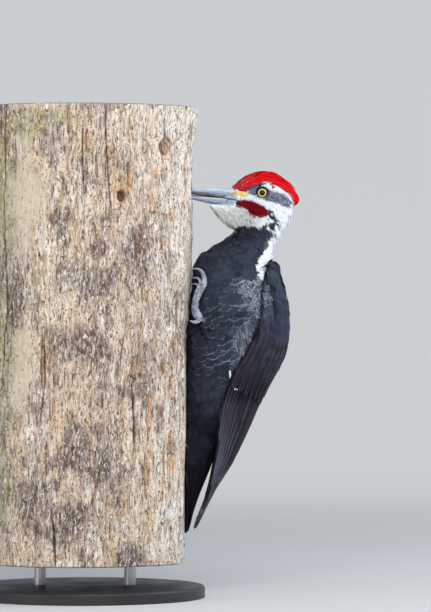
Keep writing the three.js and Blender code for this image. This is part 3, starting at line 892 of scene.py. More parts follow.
def growNasal():
    tree = surfaceOf(skin.data, nodes["bill_upper"].data)[0]
    roots, normals, _ = scatterRoots(skinSurface, nasalHere, 0.8, 6000)
    aim = np.array([-0.99, 0, -0.12])
    keep = np.abs(normals @ aim) < 0.85
    roots, normals = roots[keep], normals[keep]
    forward = unit(aim - normals * (normals @ aim)[:, None])
    ahead = smooth(-16, -27, roots[:, 0] - eyeAt[0])
    scale = draw.uniform(0.75, 1.2, len(roots))
    length = (4 + 6.5 * ahead) * scale * np.where(roots[:, 2] > eyeAt[2] + 1.5, 0.5, 1)
    depth = 0.7 + 0.5 * draw.random(len(roots))
    batch = growFeathers(nasalStyle, roots, normals, forward, length, 1.1 * scale, depth, tree)
    plant("coat_nasal", batch, plumage, "head")


growNasal()


# Neck, breast, flanks and belly. Body feathers stand in staggered rows, so that their edges
# line up in arcs; those of the neck are scattered.
neckStyle = dict(
    stations=5, strands=13, rows=5, round=0.28, narrow=0.45, close=0.12, rough=0.05, uneven=0.08,
    riseBy=0.6, fill=0.8, lean=0.14,
)
bodyStyle = dict(
    stations=6, strands=27, rows=6, fray=0.03, round=0.24, narrow=0.3, close=0.05, rough=0.05,
    uneven=0.12, riseBy=0.7, fill=0.95, tipLift=0.05, ragged=2.0, lean=0.14,
)
bodyGrowth = dict(
    neckLength=11.0, neckWidth=6.2, rowGap=4.7, columnGap=8.0, length=17.0, width=15.0, top=338.0,
    bottom=154.0, ventLength=20.0, bellyFill=0.9,
)

shoulderStyle = dict(
    stations=5, strands=19, rows=5, fray=0.04, round=0.3, close=0.05, rough=0.04, uneven=0.08,
    riseBy=0.6, fill=0.85, lean=0.1, plain=True,
)


def bodyMiddle():
    heights = np.arange(skinPoints[:, 2].min() + 2, bodyGrowth["top"] + 10, 6.0)
    middle = []
    for z in heights:
        band = skinPoints[np.abs(skinPoints[:, 2] - z) < 3]
        middle.append((band[:, 0].min() + band[:, 0].max()) / 2)
    return heights, np.array(middle)


def castOut(tree, starts, directions):
    hits = [tree.ray_cast(Vector(s), Vector(d)) for s, d in zip((starts * mm).tolist(), directions.tolist())]
    found = np.array([h[0] is not None for h in hits])
    spots = np.array([h[0][:] if h[0] is not None else (0, 0, 0) for h in hits]) / mm
    outward = np.array([h[1][:] if h[0] is not None else (0, 0, 1) for h in hits])
    return found, spots, outward


def underWing(roots, normals):
    # whether a wing covers a root
    covered = np.zeros(len(roots), bool)
    for form in wingForms.values():
        found, spots, _ = castOut(surfaceOf(form.data)[0], roots + normals * 0.5, normals)
        covered |= found & (np.linalg.norm(spots - roots, axis=1) < 25)
    return covered


def wingGap(side, roots):
    spots, _, _ = nearestOn(surfaceOf(wingForms[side].data)[0], roots)
    return np.linalg.norm(spots - roots, axis=1)


def staggeredStarts():
    # places on the body's middle line, and level directions from there, a row at a time
    g = bodyGrowth
    heights, middle = bodyMiddle()
    starts, directions = [], []
    for row, z in enumerate(np.arange(g["bottom"], g["top"], g["rowGap"])):
        girth = 2 * math.pi * (18 + 30 * float(smooth(150, 260, z)))
        columns = int(girth / g["columnGap"])
        turn = (np.arange(columns) + 0.5 * (row % 2)) / columns * 2 * math.pi
        turn = turn + draw.normal(0, 0.12 / columns * 6.28, columns)
        x = np.full(columns, np.interp(z, heights, middle))
        starts.append(np.stack([x, 0 * turn, z + draw.normal(0, 0.7, columns)], 1))
        directions.append(np.stack([np.cos(turn), np.sin(turn), 0 * turn], 1))
    return np.concatenate(starts), np.concatenate(directions)


def growBody():
    g = bodyGrowth
    neckHere = (faceCentres[:, 2] > g["top"] - 6) & (faceZ <= -44)
    roots, normals, _ = scatterRoots(skinSurface, neckHere, 2.3, 9000)
    scale = draw.uniform(0.8, 1.15, len(roots))
    depth = coatDepth(roots) * draw.uniform(0.85, 1.1, len(roots))
    length, width = g["neckLength"] * scale, g["neckWidth"] * scale
    growPart("coat_neck", neckStyle, roots, normals, length, width, depth, "neck")

    found, roots, _ = castOut(skinTree, *staggeredStarts())
    roots, normals, _ = nearestOn(skinTree, roots[found])
    hidden = underWing(roots, normals)
    roots, normals = roots[~hidden], normals[~hidden]
    scale = draw.uniform(0.88, 1.12, len(roots))
    vent = smooth(230, 190, roots[:, 2])
    length = (g["length"] + (g["ventLength"] - g["length"]) * vent) * scale
    depth = coatDepth(roots) * draw.uniform(0.85, 1.05, len(roots))
    # the belly fills the gap to the trunk
    depth *= 1 + g["bellyFill"] * smooth(0.1, 0.8, -normals[:, 0]) * smooth(322, 296, roots[:, 2])
    depth += 1.6 * smooth(190, 160, roots[:, 2])
    crevice = np.minimum(*[wingGap(side, roots) for side in wingForms])
    back = (normals[:, 0] > 0.25) & (roots[:, 2] > 200)
    depth = np.where(back, depth * 0.8 + 1.8 * smooth(10, 3, crevice), depth)
    for name, style, part in (("body", bodyStyle, ~back), ("mantle", shoulderStyle, back)):
        size = length[part], g["width"] * scale[part], depth[part]
        growPart(f"coat_{name}", style, roots[part], normals[part], *size, "torso", birdTree)
    growFringes()


# Short white-tipped feathers crowd the flank in front of the wing.
fringeStyle = dict(
    stations=4, strands=11, rows=5, fray=0.08, round=0.2, narrow=0.5, rough=0.06, uneven=0.12,
    riseBy=0.6, fill=0.8, lean=0.14, ragged=1.2,
)


def faceNormals(points, faces):
    a, b, c = (points[faces[:, corner]] for corner in range(3))
    return unit(np.cross(b - a, c - a))


def growFringes():
    centres = birdPoints[birdFaces].mean(1)
    outside = faceNormals(birdPoints, birdFaces)[:, 1] * np.sign(centres[:, 1]) > -0.15
    x, z = sideEyed(centres)
    tassel = (outlineDistance(x, z, marks["stripe"]) < 0.5) & (z < -68) & (z > -92)
    here = ((outlineDistance(x, z, marks["fringes"]) < 1) | tassel) & outside
    roots, normals, index = scatterRoots(birdSurface, here, 2.5, 5000)
    onSkin = index < len(skinFaces)
    hidden = underWing(roots, normals) & onSkin
    roots, normals, onSkin = roots[~hidden], normals[~hidden], onSkin[~hidden]
    scale = draw.uniform(0.8, 1.2, len(roots))
    nearWing = np.exp(-(((roots[:, 0] - 174) / 6) ** 2)) * onSkin
    depth = np.where(onSkin, coatDepth(roots) * 1.08, 2.3) * draw.uniform(0.95, 1.1, len(roots))
    depth = depth + 3 * nearWing
    length = (8.5 + 6.5 * nearWing) * scale
    growPart("coat_fringe", fringeStyle, roots, normals, length, 5.2 * scale, depth, "torso", birdTree)


# Loose wisps hang from chin and throat.
beardStyle = dict(
    stations=4, strands=4, rows=5, fray=0.35, round=0.1, narrow=0.6, close=0.3, rough=0.35, uneven=0.5,
    riseBy=0.8, fill=0.45, lean=0.5, tipLift=2.0,
)


def growBeard():
    here = (faceX < -6) & (faceZ < -14) & (faceZ > -38)
    roots, normals, _ = scatterRoots(skinSurface, here, 1.5, 6000)
    keep = markingsAt(roots)["white"] > 0.6
    roots, normals = roots[keep], normals[keep]
    scale = draw.uniform(0.7, 1.3, len(roots))
    size = 10 * scale, 2.6 * scale, coatDepth(roots) * scale
    growPart("coat_beard", beardStyle, roots, normals, *size, "head")


# White down of the wing lining shows at the wing's front edge: across, height, length and width.
lining = [(144.8, 234, 17, 1.7), (145.2, 230, 15, 1.3), (149.6, 211, 3.2, 1.2), (151.6, 210.4, 2.6, 1.0)]


def growLining():
    across, height, length, width = np.array(lining).T
    for side, sign in signs.items():
        starts = np.stack([across, 0 * across + sign * 90, height], 1)
        _, roots, normals = castOut(birdTree, starts, np.tile([0.0, -sign, 0.0], (len(starts), 1)))
        way = flowAt(roots, normals)
        tufts = growFeathers(fringeStyle, roots, normals, way, length, width, 1.5 + length / 4, birdTree)
        tufts["fields"]["white"] = np.full(len(tufts["points"]), 0.85)
        plant(f"coat_lining_{side}", tufts, plumage, f"wing_{side}")


growBody()
growBeard()
growLining()


# What every style of vane and every single vane is unless it says otherwise.
vaneBase = dict(
    tipCurve=2.2, ragged=0.5, closeTip=0.18, limit=1.0, tipLift=0.2, shaftWidth=0.45, seam=0, under=None,
)
plainVane = {"outer": 1, "rim": 0.1, "dim": 0, "cool": 0, "pale": 0}
# points across a vane, from its outer edge to its inner edge; three of them make the shaft
vaneAcross = [-1, -0.93, -0.75, -0.5, -0.25, 0, 0, 0, 0.15, 0.3, 0.45, 0.6, 0.75, 0.9, 1.0]
outerFoot, shaftTop, innerFoot = 5, 6, 7


# Long stiff vanes for wings and tail. A vane is a sheet with a raised shaft and a slightly ragged
# end, laid over a form by a placer that turns (share across, height) into a spot.
def growVanes(style, vanes, placer, spanAt, cellGrid, cellStart):
    s = vaneBase | style
    base = np.array(vaneAcross)
    rows, count, wide = s["rows"], len(vanes), len(base)
    column = np.arange(wide)

    def of(name):
        return np.array([(plainVane | vane)[name] for vane in vanes])[:, None, None]

    lead, top, tip, width, shaft, layer = map(of, ["lead", "top", "tip", "width", "shaft", "layer"])
    t = (np.linspace(0, 1, rows) ** 0.85)[None, :, None]
    near = s["shaftWidth"] / width
    middle = 2 * shaft - 1
    u = np.where(base <= 0, middle + base * (middle + 1), middle + base * (1 - middle))
    u = np.where(column == outerFoot, middle - near, u)
    u = np.where(column == innerFoot, middle + near, u)
    v = np.where(u > middle, (u - middle) / (1 - middle), (middle - u) / (1 + middle))
    end = tip + of("round") * np.abs(v) ** s["tipCurve"]
    ragged = draw.normal(0, s["ragged"], (count, 1, wide)) * (np.abs(v) > 0.02)
    z = top + (end + ragged - top) * t
    swell = 0.55 + 0.45 * smooth(0, 0.25, t) - s["closeTip"] * smooth(0.7, 1, t)
    offset = width * ((u + 1) / 2 * swell + (1 - swell) * shaft * 0.6)
    across = lead + offset / np.maximum(spanAt(z), 2)
    over = np.maximum(across.max(2, keepdims=True) - s["limit"], 0)
    low = across.min(2, keepdims=True)
    squeeze = (s["limit"] - low) / np.maximum(s["limit"] - low + over, 1e-6)
    across = low + (across - low) * np.where(over > 0, squeeze, 1)
    spots, outward = placer(across.ravel(), z.ravel())
    spots, outward = spots.reshape(count, rows, wide, 3), outward.reshape(count, rows, wide, 3)
    for _ in range(3):
        for grid in (spots, outward):
            grid[:, 1:-1] = (grid[:, :-2] + grid[:, 2:] + 2 * grid[:, 1:-1]) / 4
    tilt = s["shingle"] * (1 - (u + 1) / 2)
    ridge = s["ridge"] * ((column == shaftTop) + 0.2 * np.isin(column, (outerFoot, innerFoot)))
    height = s["base"] + layer + tilt + s["camber"] * (1 - v**2) + ridge * (1 - 0.6 * t)
    height = height - s["hem"] * (column == 0) + s["tipLift"] * t**4
    height = height * smooth(-0.15, 0.12, t)
    points = spots + unit(outward) * height[..., None]

    index = np.arange(rows * wide).reshape(rows, wide)
    quads = np.stack([index[:-1, :-1], index[1:, :-1], index[1:, 1:], index[:-1, 1:]], -1).reshape(-1, 4)
    faces = (quads[None] + (np.arange(count) * rows * wide)[:, None, None]).reshape(-1, 4)
    cell = np.arange(count) + cellStart
    corner = np.stack([cell % cellGrid, cell // cellGrid], 1)[:, None, None]
    local = np.stack(np.broadcast_arrays((u + 1) / 2 * 0.9 + 0.05, t * 0.9 + 0.05), -1)
    patch = ((corner + local) / cellGrid).reshape(-1, 2)

    # painted shadow in the gaps along the edges of the covert tips
    seam = s["seam"] * smooth(0.6, 0.9, np.abs(u)) * smooth(0.45, 0.85, t)
    if s["under"]:
        seam = smooth(*s["under"], z)  # painted shade where the quills lie hidden under the coverts
    fields = {
        "along": t,
        "across": v,
        "barbLine": np.abs(top - tip) * t - 1.3 * np.abs(offset - shaft * width),
        "hue": draw.random((count, 1, 1)),
        "edge": smooth(-0.88, -0.94, u * of("outer")) * of("rim"),
        "hem": np.maximum(smooth(0.93, 0.99, t), smooth(0.85, 0.97, v) * smooth(0.7, 0.9, t)),
        "dim": of("dim") + seam,
        "shaft": (np.abs(column - shaftTop) < 1.5).astype(float),
        "cool": of("cool") * smooth(0.95, 0.35, t),
        "pale": of("pale") * smooth(0.8, 1, t),
    }
    fields = {name: np.broadcast_to(values, (count, rows, wide)).ravel() for name, values in fields.items()}
    return {"points": keepClear(points.reshape(-1, 3)), "faces": faces, "fields": fields, "patch": patch}


def bandsOf(points):
    # level slices of a form, from its foot to its top
    heights = np.arange(math.ceil(points[:, 2].min()) + 1, points[:, 2].max() - 1, 4.0)
    return heights, [points[np.abs(points[:, 2] - z) < 2.5] for z in heights]


# Wing: where its feathers lie, by the share from its front edge round to the middle of the back.
def wingPlacer(side, surface):
    tree, points, _ = surface
    heights, bands = bandsOf(points)
    rows = []
    for band in bands:
        back = band[band[:, 0] > band[:, 0].max() - 1.5]
        rows.append((band[:, 0].min(), band[:, 0].max(), np.abs(band[:, 1]).max(), np.abs(back[:, 1]).mean()))
    front, back, wide, parting = np.array(rows).T

    def spanAt(z):
        deep = np.interp(z, heights, back - front)
        broad = np.interp(z, heights, wide - parting)
        return math.pi / 2 * np.sqrt((deep**2 + broad**2) / 2)

    def placer(share, z):
        turn = np.clip(share, -0.1, 1.05) * math.pi / 2
        f, b, w, p = (np.interp(z, heights, edge) for edge in (front, back, wide, parting))
        x = f + (b - f + 5) * np.sin(turn)
        y = p + (w - p + 5) * np.cos(turn)
        return nearestOn(tree, np.stack([x, signs[side] * y, z], 1))[:2]

    return placer, spanAt


wingFeathers = {
    "primaryLeads": [0.0, 0.045, 0.09, 0.14, 0.19, 0.25, 0.33, 0.43],
    "primaryTips": [92, 76, 68, 65.5, 70, 80, 94, 110],
    "primary": {"width": 25, "top": 232, "shaft": 0.2, "round": 7, "pale": 0.6, "rim": 1.0},
    "secondaryLeads": [0.54, 0.64],
    "secondaryTips": [127, 146],
    "secondary": {"width": 28, "top": 245, "shaft": 0.3, "round": 9, "cool": 0.8},
    "coverts": 8,
    "covertTip": (210, 190),
    "covertLength": 62,
    "covert": {"width": 8.5, "shaft": 0.5, "round": 6.5},
    "shoulderHem": 231,
}
# under: heights of the painted shade on the quills below the coverts; seam: strength of the painted shadow
# between covert tips
vaneStyle = dict(rows=44, base=0.35, shingle=0.75, camber=0.22, ridge=0.26, hem=0.04, under=(187, 204))
covertStyle = dict(
    rows=30, base=0.8, shingle=1.0, camber=0.5, ridge=0.15, hem=0.3, closeTip=0.22, tipLift=0.6,
    limit=0.97, tipCurve=2.6, ragged=0.25, seam=1.0,
)

flightTones = tones(
    deep=(0.012, 0.011, 0.017), brown=(0.046, 0.037, 0.050), edge=(0.11, 0.13, 0.18),
    cool=(0.046, 0.056, 0.088), pale=(0.16, 0.155, 0.17), shaft=(0.006, 0.006, 0.008),
    tail=(0.0025, 0.0025, 0.004),
)


def flightPaint(name, shine, dull):
    p, c = Paint(name), flightTones
    along, dim, shaft = p.field("along"), p.field("dim"), p.field("shaft")
    barbs = p.node("ShaderNodeMath", {"operation": "PINGPONG"}, {0: p.field("barbLine"), 1: 0.42}) / 0.42
    blotch = p.noise(p.place(), 90, 3, 0.55)
    color = p.layered(c["deep"], [
        (p.field("hue") * 0.4 + p.span(blotch, 0.35, 0.7) * 0.4 + barbs * 0.2, c["brown"]),
        # a painted bluish sheen on the secondaries and the rear coverts, fading toward the tips
        (p.field("cool") * p.span(blotch, 0.3, 0.65), c["cool"]),
        (p.span(along, 0.3, 1.0) * 0.25, c["deep"]),
        # dim darkens toward near-black: painted shade under the coverts, between covert tips and on the forms
        # between feathers; the tail quills are darkened in full
        (dim * 0.8, c["tail"]),
        (p.field("edge") * (p.span(along, 0.2, 0.6) * 0.5 + 0.4), c["edge"]),
        (p.field("hem") * (1 - dim) * 0.18, c["edge"]),
        (p.field("pale") * 0.7, c["pale"]),
        (shaft * 0.8, c["shaft"]),
    ])
    return p.finish({
        "Base Color": color,
        "Roughness": dull - shaft * 0.2 + barbs * 0.08,
        "Specular IOR Level": shine,
        "Normal": p.bump(barbs, 0.5, 0.12),
    })


flightVane = flightPaint("flight_vane", 0.07, 0.55)
tailVane = flightPaint("tail_vane", 0.03, 0.7)


def vaneRow(leads, tips, shared):
    places = enumerate(zip(leads, tips))
    return [{"lead": lead, "tip": tip, "layer": 0.07 * rank} | shared for rank, (lead, tip) in places]


def finishForm(form, node, material):
    # the form only shows between feathers and is painted near black there as shade, so it can be coarser
    form.modifiers.new("thin", "DECIMATE").ratio = 0.45
    applyModifiers(form)
    for name in ["along", "across", "hue", "edge", "hem", "dim", "shaft", "cool", "pale", "barbLine"]:
        addField(form.data, name, np.full(len(form.data.vertices), float(name in ("shaft", "dim"))))
    form.data.materials.append(material)
    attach(form, "root")
    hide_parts(node)


def growWing(side):
    g, form, node = wingFeathers, wingForms[side], f"wing_{side}"
    surface = surfaceOf(form.data)
    tree, points, faces = surface
    placer, spanAt = wingPlacer(side, surface)
    quills = vaneRow(g["primaryLeads"], g["primaryTips"], g["primary"])
    quills[0]["rim"] = 0
    quills += vaneRow(g["secondaryLeads"], g["secondaryTips"], g["secondary"])
    batch = growVanes(vaneStyle, quills, placer, spanAt, 8, 0)
    plant(f"wing_{side}_quills", batch, flightVane, node)

    coverts = []
    for index, lead in enumerate(np.linspace(-0.06, 0.68, g["coverts"])):
        share = index / (g["coverts"] - 1)
        tip = g["covertTip"][0] + (g["covertTip"][1] - g["covertTip"][0]) * share + draw.uniform(-3, 3)
        one = {"lead": lead, "tip": tip, "top": tip + g["covertLength"], "layer": 0.5 + 0.12 * index}
        # the rear coverts get more of the painted bluish sheen
        coverts.append(g["covert"] | one | {"cool": 0.35 + 0.8 * share})
    batch = growVanes(covertStyle, coverts, placer, spanAt, 8, 20)
    plant(f"wing_{side}_coverts", batch, flightVane, node)

    centres, facing = points[faces].mean(1), faceNormals(points, faces)
    outer = facing[:, 1] * signs[side]
    outside = (outer > -0.2) & ((outer > 0.1) | (facing[:, 0] > 0.3))
    hemLine = g["shoulderHem"] - 0.85 * (centres[:, 0] - 165)
    roots, outward, _ = scatterRoots(surface, (centres[:, 2] > hemLine) & outside, 3.1, 9000)
    scale = draw.uniform(0.88, 1.12, len(roots))
    low = smooth(335, 270, roots[:, 2])
    length, width = (11 + 9 * low) * scale, (7.5 + 4.5 * low) * scale
    growPart(f"wing_{side}_shoulder", shoulderStyle, roots, outward, length, width, 1.4 * scale, node, tree)
    finishForm(form, node, flightVane)


for side in signs:
    growWing(side)


# Tail: twelve stiff pointed feathers in an arch, the middle pair longest and on top.
tailFeathers = {"places": [0.0, 0.24, 0.42, 0.59, 0.75, 0.9], "tips": [64.5, 66, 74, 86, 100, 124]}
tailFeathers |= {"shared": {"width": 13.5, "top": 190, "shaft": 0.5, "round": 15, "dim": 1}}
tailStyle = dict(
    rows=40, base=0.2, shingle=0.0, camber=0.5, ridge=0.5, hem=0.1, closeTip=0.45, limit=2.0, ragged=0.7,
    shaftWidth=0.5,
)


def growTail():
    g, surface = tailFeathers, surfaceOf(tailForm.data)
    tree, points, faces = surface
    heights, bands = bandsOf(points)
    rows = [(band[:, 0].min(), band[:, 0].max(), np.abs(band[:, 1]).max()) for band in bands]
    front, back, wide = np.array(rows).T

    def spanAt(z):
        return np.interp(z, heights, wide) * 1.25

    def placer(share, z):
        turn = np.clip(share, -1.15, 1.15) * math.pi / 2
        f, b, w = (np.interp(z, heights, edge) for edge in (front, back, wide))
        return nearestOn(tree, np.stack([f + (b - f + 4) * np.cos(turn), (w + 4) * np.sin(turn), z], 1))[:2]

    quills = []
    for rank in range(5, -1, -1):
        place, tip = g["places"][rank], g["tips"][rank]
        for sign in (-1, 1):
            one = {"lead": sign * place - 0.26, "tip": tip + draw.uniform(-0.6, 0.6)}
            one |= {"layer": 0.16 * (5 - rank) + 0.03 * (sign > 0), "outer": -sign, "rim": 0.15 * rank}
            quills.append(g["shared"] | one)
    batch = growVanes(tailStyle, quills, placer, spanAt, 4, 0)
    plant("tail_quills", batch, tailVane, "tail")
    level = points[faces].mean(1)[:, 2]
    roots, normals, _ = scatterRoots(surface, (level > 144) & (level < 190), 4.0, 3000)
    scale = draw.uniform(0.85, 1.15, len(roots))
    upper = smooth(150, 176, roots[:, 2])
    length, width, depth = (13 + 5 * upper) * scale, (8 + 4 * upper) * scale, (1.0 + 3.2 * upper) * scale
    growPart("coat_tail", bodyStyle, roots, normals, length, width, depth, "tail", tree)
    finishForm(tailForm, "tail", tailVane)


growTail()


# Closed grids: each row of points is a ring.
def wrapFaces(rows, columns):
    index = np.arange(rows * columns).reshape(rows, columns)
    ahead = np.roll(index, -1, axis=1)
    return np.stack([index[:-1], ahead[:-1], ahead[1:], index[1:]], -1).reshape(-1, 4)


# Eyes: a ball with a slight bulge in front; colour goes by the distance from the pupil's middle.
eyeShape = {"rings": 56, "around": 96, "bulge": 0.35, "bulgeReach": 3.6}
irisTones = [(0.0, (0.002, 0.002, 0.003)), (0.45, (0.003, 0.003, 0.004)), (0.47, (0.10, 0.075, 0.02))]
irisTones += [(0.505, (0.80, 0.66, 0.08)), (0.60, (0.84, 0.75, 0.16)), (0.65, (0.24, 0.19, 0.03))]
irisTones += [(0.69, (0.004, 0.004, 0.005))]


def eyePaint():
    p = Paint("eye_glass")
    spokes = p.noise(p.field("spoke") * 14 + p.field("radial") * 3, 1.0, 3, 0.6)
    tone = p.ramp(p.field("radial") + p.span(spokes, 0, 1, -0.012, 0.012), irisTones)
    return p.finish({
        "Base Color": tone,
        "Roughness": 0.12,
        "Specular IOR Level": 0.15,
        "Coat Weight": 0.55,
        "Coat Roughness": 0.03,
        "IOR": 1.4,
    })


def makeEye(side, material):
    s = eyeShape
    low, high = boxOf(f"eye_{side}")
    middle, ball = (low + high) / 2, (high[2] - low[2]) / 2
    sign = signs[side]
    tilt = np.linspace(0.0, math.pi, s["rings"])[:, None]
    turn = np.linspace(0, 2 * math.pi, s["around"], endpoint=False)[None]
    radial = ball * np.sin(tilt) + 0 * turn
    bulge = s["bulge"] * smooth(s["bulgeReach"], 0.5, radial) * (tilt < math.pi / 2)
    depth = sign * (ball * np.cos(tilt) + bulge)
    points = np.stack([radial * np.cos(turn), depth, radial * np.sin(turn)], -1).reshape(-1, 3) + middle
    faces = wrapFaces(s["rings"], s["around"])[:, ::-sign]
    fields = {"radial": np.where(tilt < math.pi / 2, radial / ball, 1), "spoke": np.cos(turn * 9) + 0 * tilt}
    eye = meshFrom(f"eyeball_{side}", points, faces, material, fields)
    weld(eye, 0.001)
    applyModifiers(eye)
    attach(eye, "root")
    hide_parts(f"eye_{side}")


eyeGlass = eyePaint()
for side in signs:
    makeEye(side, eyeGlass)
print("eyes made")


# Bill: blue-grey horn, streaked along its length. On the upper half painted shade runs along the cutting edge
# and a painted highlight lies high on its side; the lower half is pale at its cutting edge and darker toward
# its underside.
billTones = [(0.0, (0.006, 0.006, 0.008)), (0.3, (0.016, 0.018, 0.024)), (0.41, (0.11, 0.14, 0.20))]
billTones += [(0.5, (0.22, 0.29, 0.41)), (0.74, (0.36, 0.45, 0.58)), (0.9, (0.64, 0.74, 0.85))]
billTones += [(1.0, (0.32, 0.38, 0.47))]
billMarks = tones(warm=(0.42, 0.40, 0.34), dark=(0.025, 0.028, 0.036))
billBuild = {"voxel": 0.36, "rounds": 6, "grow": 0.08}
billCut = {"groove": 0.3, "openTo": 140.0, "slit": 0.7, "tipSlit": 1.5}


def billPaint():
    p, c = Paint("bill_horn"), billMarks
    streak = p.noise(p.place((0.09, 1, 1)), 900, 4, 0.6)
    fine = p.noise(p.place((0.05, 1, 1)), 2600, 2, 0.5)
    cloud = p.noise(p.place(), 120, 3, 0.5)
    color = p.ramp(p.field("rise") + p.span(streak, 0.3, 0.7, -0.12, 0.12), billTones)
    color = p.mix(p.span(cloud, 0.5, 0.75) * 0.2, color, c["warm"])
    color = p.mix(p.field("base") * 0.15, color, c["dark"])
    return p.finish({
        "Base Color": color,
        "Roughness": 0.36 + p.span(streak, 0.3, 0.7) * 0.14,
        "Normal": p.bump(streak * 0.6 + fine * 0.4, 0.25, 0.06),
    })


def makeBill():
    s, material = billCut, billPaint()
    for half, other, sign in (("bill_upper", "bill_lower", 1), ("bill_lower", "bill_upper", -1)):
        piece = fused(half + "_horn", [half], **billBuild)
        points, normals = pointsOf(piece.data), normalsOf(piece.data)
        near, _, _ = nearestOn(surfaceOf(nodes[other].data)[0], points)
        gap = np.linalg.norm(points - near, axis=1)
        low, high = points.min(0), points.max(0)
        share = (points[:, 0] - low[0]) / (high[0] - low[0])
        stations = np.arange(low[0], high[0] + 1, 1.5)
        bands = [points[np.abs(points[:, 0] - x) < 1.2, 2] * sign for x in stations]
        edge = np.interp(points[:, 0], stations, [b.min() for b in bands])
        crown = np.interp(points[:, 0], stations, [b.max() for b in bands])
        rise = (points[:, 2] * sign - edge) / np.maximum(crown - edge, 0.5)
        side = smooth(0.2, 0.6, np.abs(normals[:, 1]))
        groove = np.exp(-(((rise - 0.42) / 0.09) ** 2)) * side * smooth(0.2, 0.5, share)
        points -= normals * (groove * s["groove"])[:, None]
        points += normals * (0.05 * wobble(points * [0.12, 1, 1], 2.2, 9))[:, None]
        # behind the tip the halves all but meet
        slit = s["slit"] + s["tipSlit"] * smooth(s["openTo"], trunkAt(points[:, 2]), points[:, 0])
        points[:, 2] -= sign * smooth(0.4, 0.05, rise) * np.maximum(gap - slit, 0) * 0.5 * (gap < 4)
        setPoints(piece.data, points)
        rise = np.clip(rise, 0, 1)
        # rise carries the painted shade at the cutting edge and the painted highlight high on the upper half
        paler = rise + 0.2 * smooth(0.3, 0.75, share) * (1 - rise)  # the upper half pales toward the face
        addField(piece.data, "rise", paler if half == "bill_upper" else 0.88 - 0.46 * rise)
        addField(piece.data, "base", smooth(0.86, 1.0, share))
        piece.data.materials.append(material)
        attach(piece, "root")
        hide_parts(half)


makeBill()

tongueTones = tones(deep=(0.012, 0.004, 0.005), wet=(0.30, 0.02, 0.03))


def makeTongue():
    p, c = Paint("mouth_wet"), tongueTones
    grain = p.noise(p.place((0.3, 1, 1)), 500, 3)
    material = p.finish({
        "Base Color": p.mix(p.field("front") * (p.span(grain, 0.35, 0.65) * 0.6 + 0.4), c["deep"], c["wet"]),
        "Roughness": 0.25 + grain * 0.15,
        "Coat Weight": 0.4,
        "Normal": p.bump(grain, 0.3, 0.2),
    })
    tongue = fused("tongue_flesh", ["tongue"], 0.3, 5, 0.05)
    tongue.data.materials.append(material)
    # red only toward the front: further back the mouth is painted dark as shade
    addField(tongue.data, "front", smooth(126, 116, pointsOf(tongue.data)[:, 0]))
    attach(tongue, "root")
    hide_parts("tongue")


makeTongue()
print("bill made")


# Feet: rings of scutes across shank and toes, spaced from the joint where the toes meet.
legBuild = {"voxel": 0.42, "rounds": 5, "grow": 0.1}
legShape = {"slim": 0.8, "scute": 1.35, "rise": 0.16, "pebble": 0.08}
legTones = tones(
    grey=(0.085, 0.105, 0.145), light=(0.58, 0.66, 0.80), seam=(0.022, 0.025, 0.035),
    worn=(0.40, 0.38, 0.34),
)
clawTones = tones(root=(0.34, 0.38, 0.49), horn=(0.15, 0.16, 0.20), pale=(0.60, 0.64, 0.74))
toeNames = ["inner", "middle", "outer", "hind"]


def legPaint():
    p, c = Paint("foot_scales"), legTones
    cells = {"Vector": p.place((0.8, 0.8, 1.7)), "Scale": 620.0}
    pebble = p.node("ShaderNodeTexVoronoi", {"feature": "DISTANCE_TO_EDGE"}, cells, "Distance")
    grime = p.noise(p.place(), 260, 3, 0.6)
    color = p.layered(c["grey"], [
        (p.span(grime, 0.35, 0.7), c["light"]),
        # painted highlight on the side toward +X
        (p.field("top") * 0.7, c["light"]),
        (p.span(pebble, 0.09, 0.02) * 0.5, c["seam"]),
        (p.field("seam") * 0.75, c["seam"]),
        (p.span(grime, 0.6, 0.8) * 0.4, c["worn"]),
    ])
    return p.finish({
        "Base Color": color,
        "Roughness": 0.48 + grime * 0.2,
        "Normal": p.bump(p.span(pebble, 0, 0.12), 0.4, 0.12),
    })


def clawPaint():
    p, c = Paint("claw_horn"), clawTones
    streak = p.noise(p.place(), 700, 3, 0.5)
    color = p.layered(c["root"], [(p.field("tip"), c["horn"]), (p.span(streak, 0.5, 0.75) * 0.5, c["pale"])])
    return p.finish({
        "Base Color": color,
        "Roughness": 0.28 + streak * 0.12,
        "Coat Weight": 0.3,
        "Normal": p.bump(streak, 0.2, 0.08),
    })


def slimToes(points, slim):
    # draws the toes in to their middle line between the claws
    lowest, highest = points[:, 2].min(), points[:, 2].max()
    shares = np.linspace(lowest, highest, 24)
    outer = np.abs(points[:, 1]) > np.abs(points[:, 1]).max() - 7
    middle = [points[outer & (np.abs(points[:, 2] - z) < 2), 0] for z in shares]
    middle = [(m.min() + m.max()) / 2 if len(m) else 120 for m in middle]
    line = np.interp(points[:, 2], shares, middle)
    window = smooth(lowest + 2, lowest + 10, points[:, 2]) * smooth(highest - 1, highest - 8, points[:, 2])
    points[:, 0] += (line - points[:, 0]) * (1 - slim) * window * outer


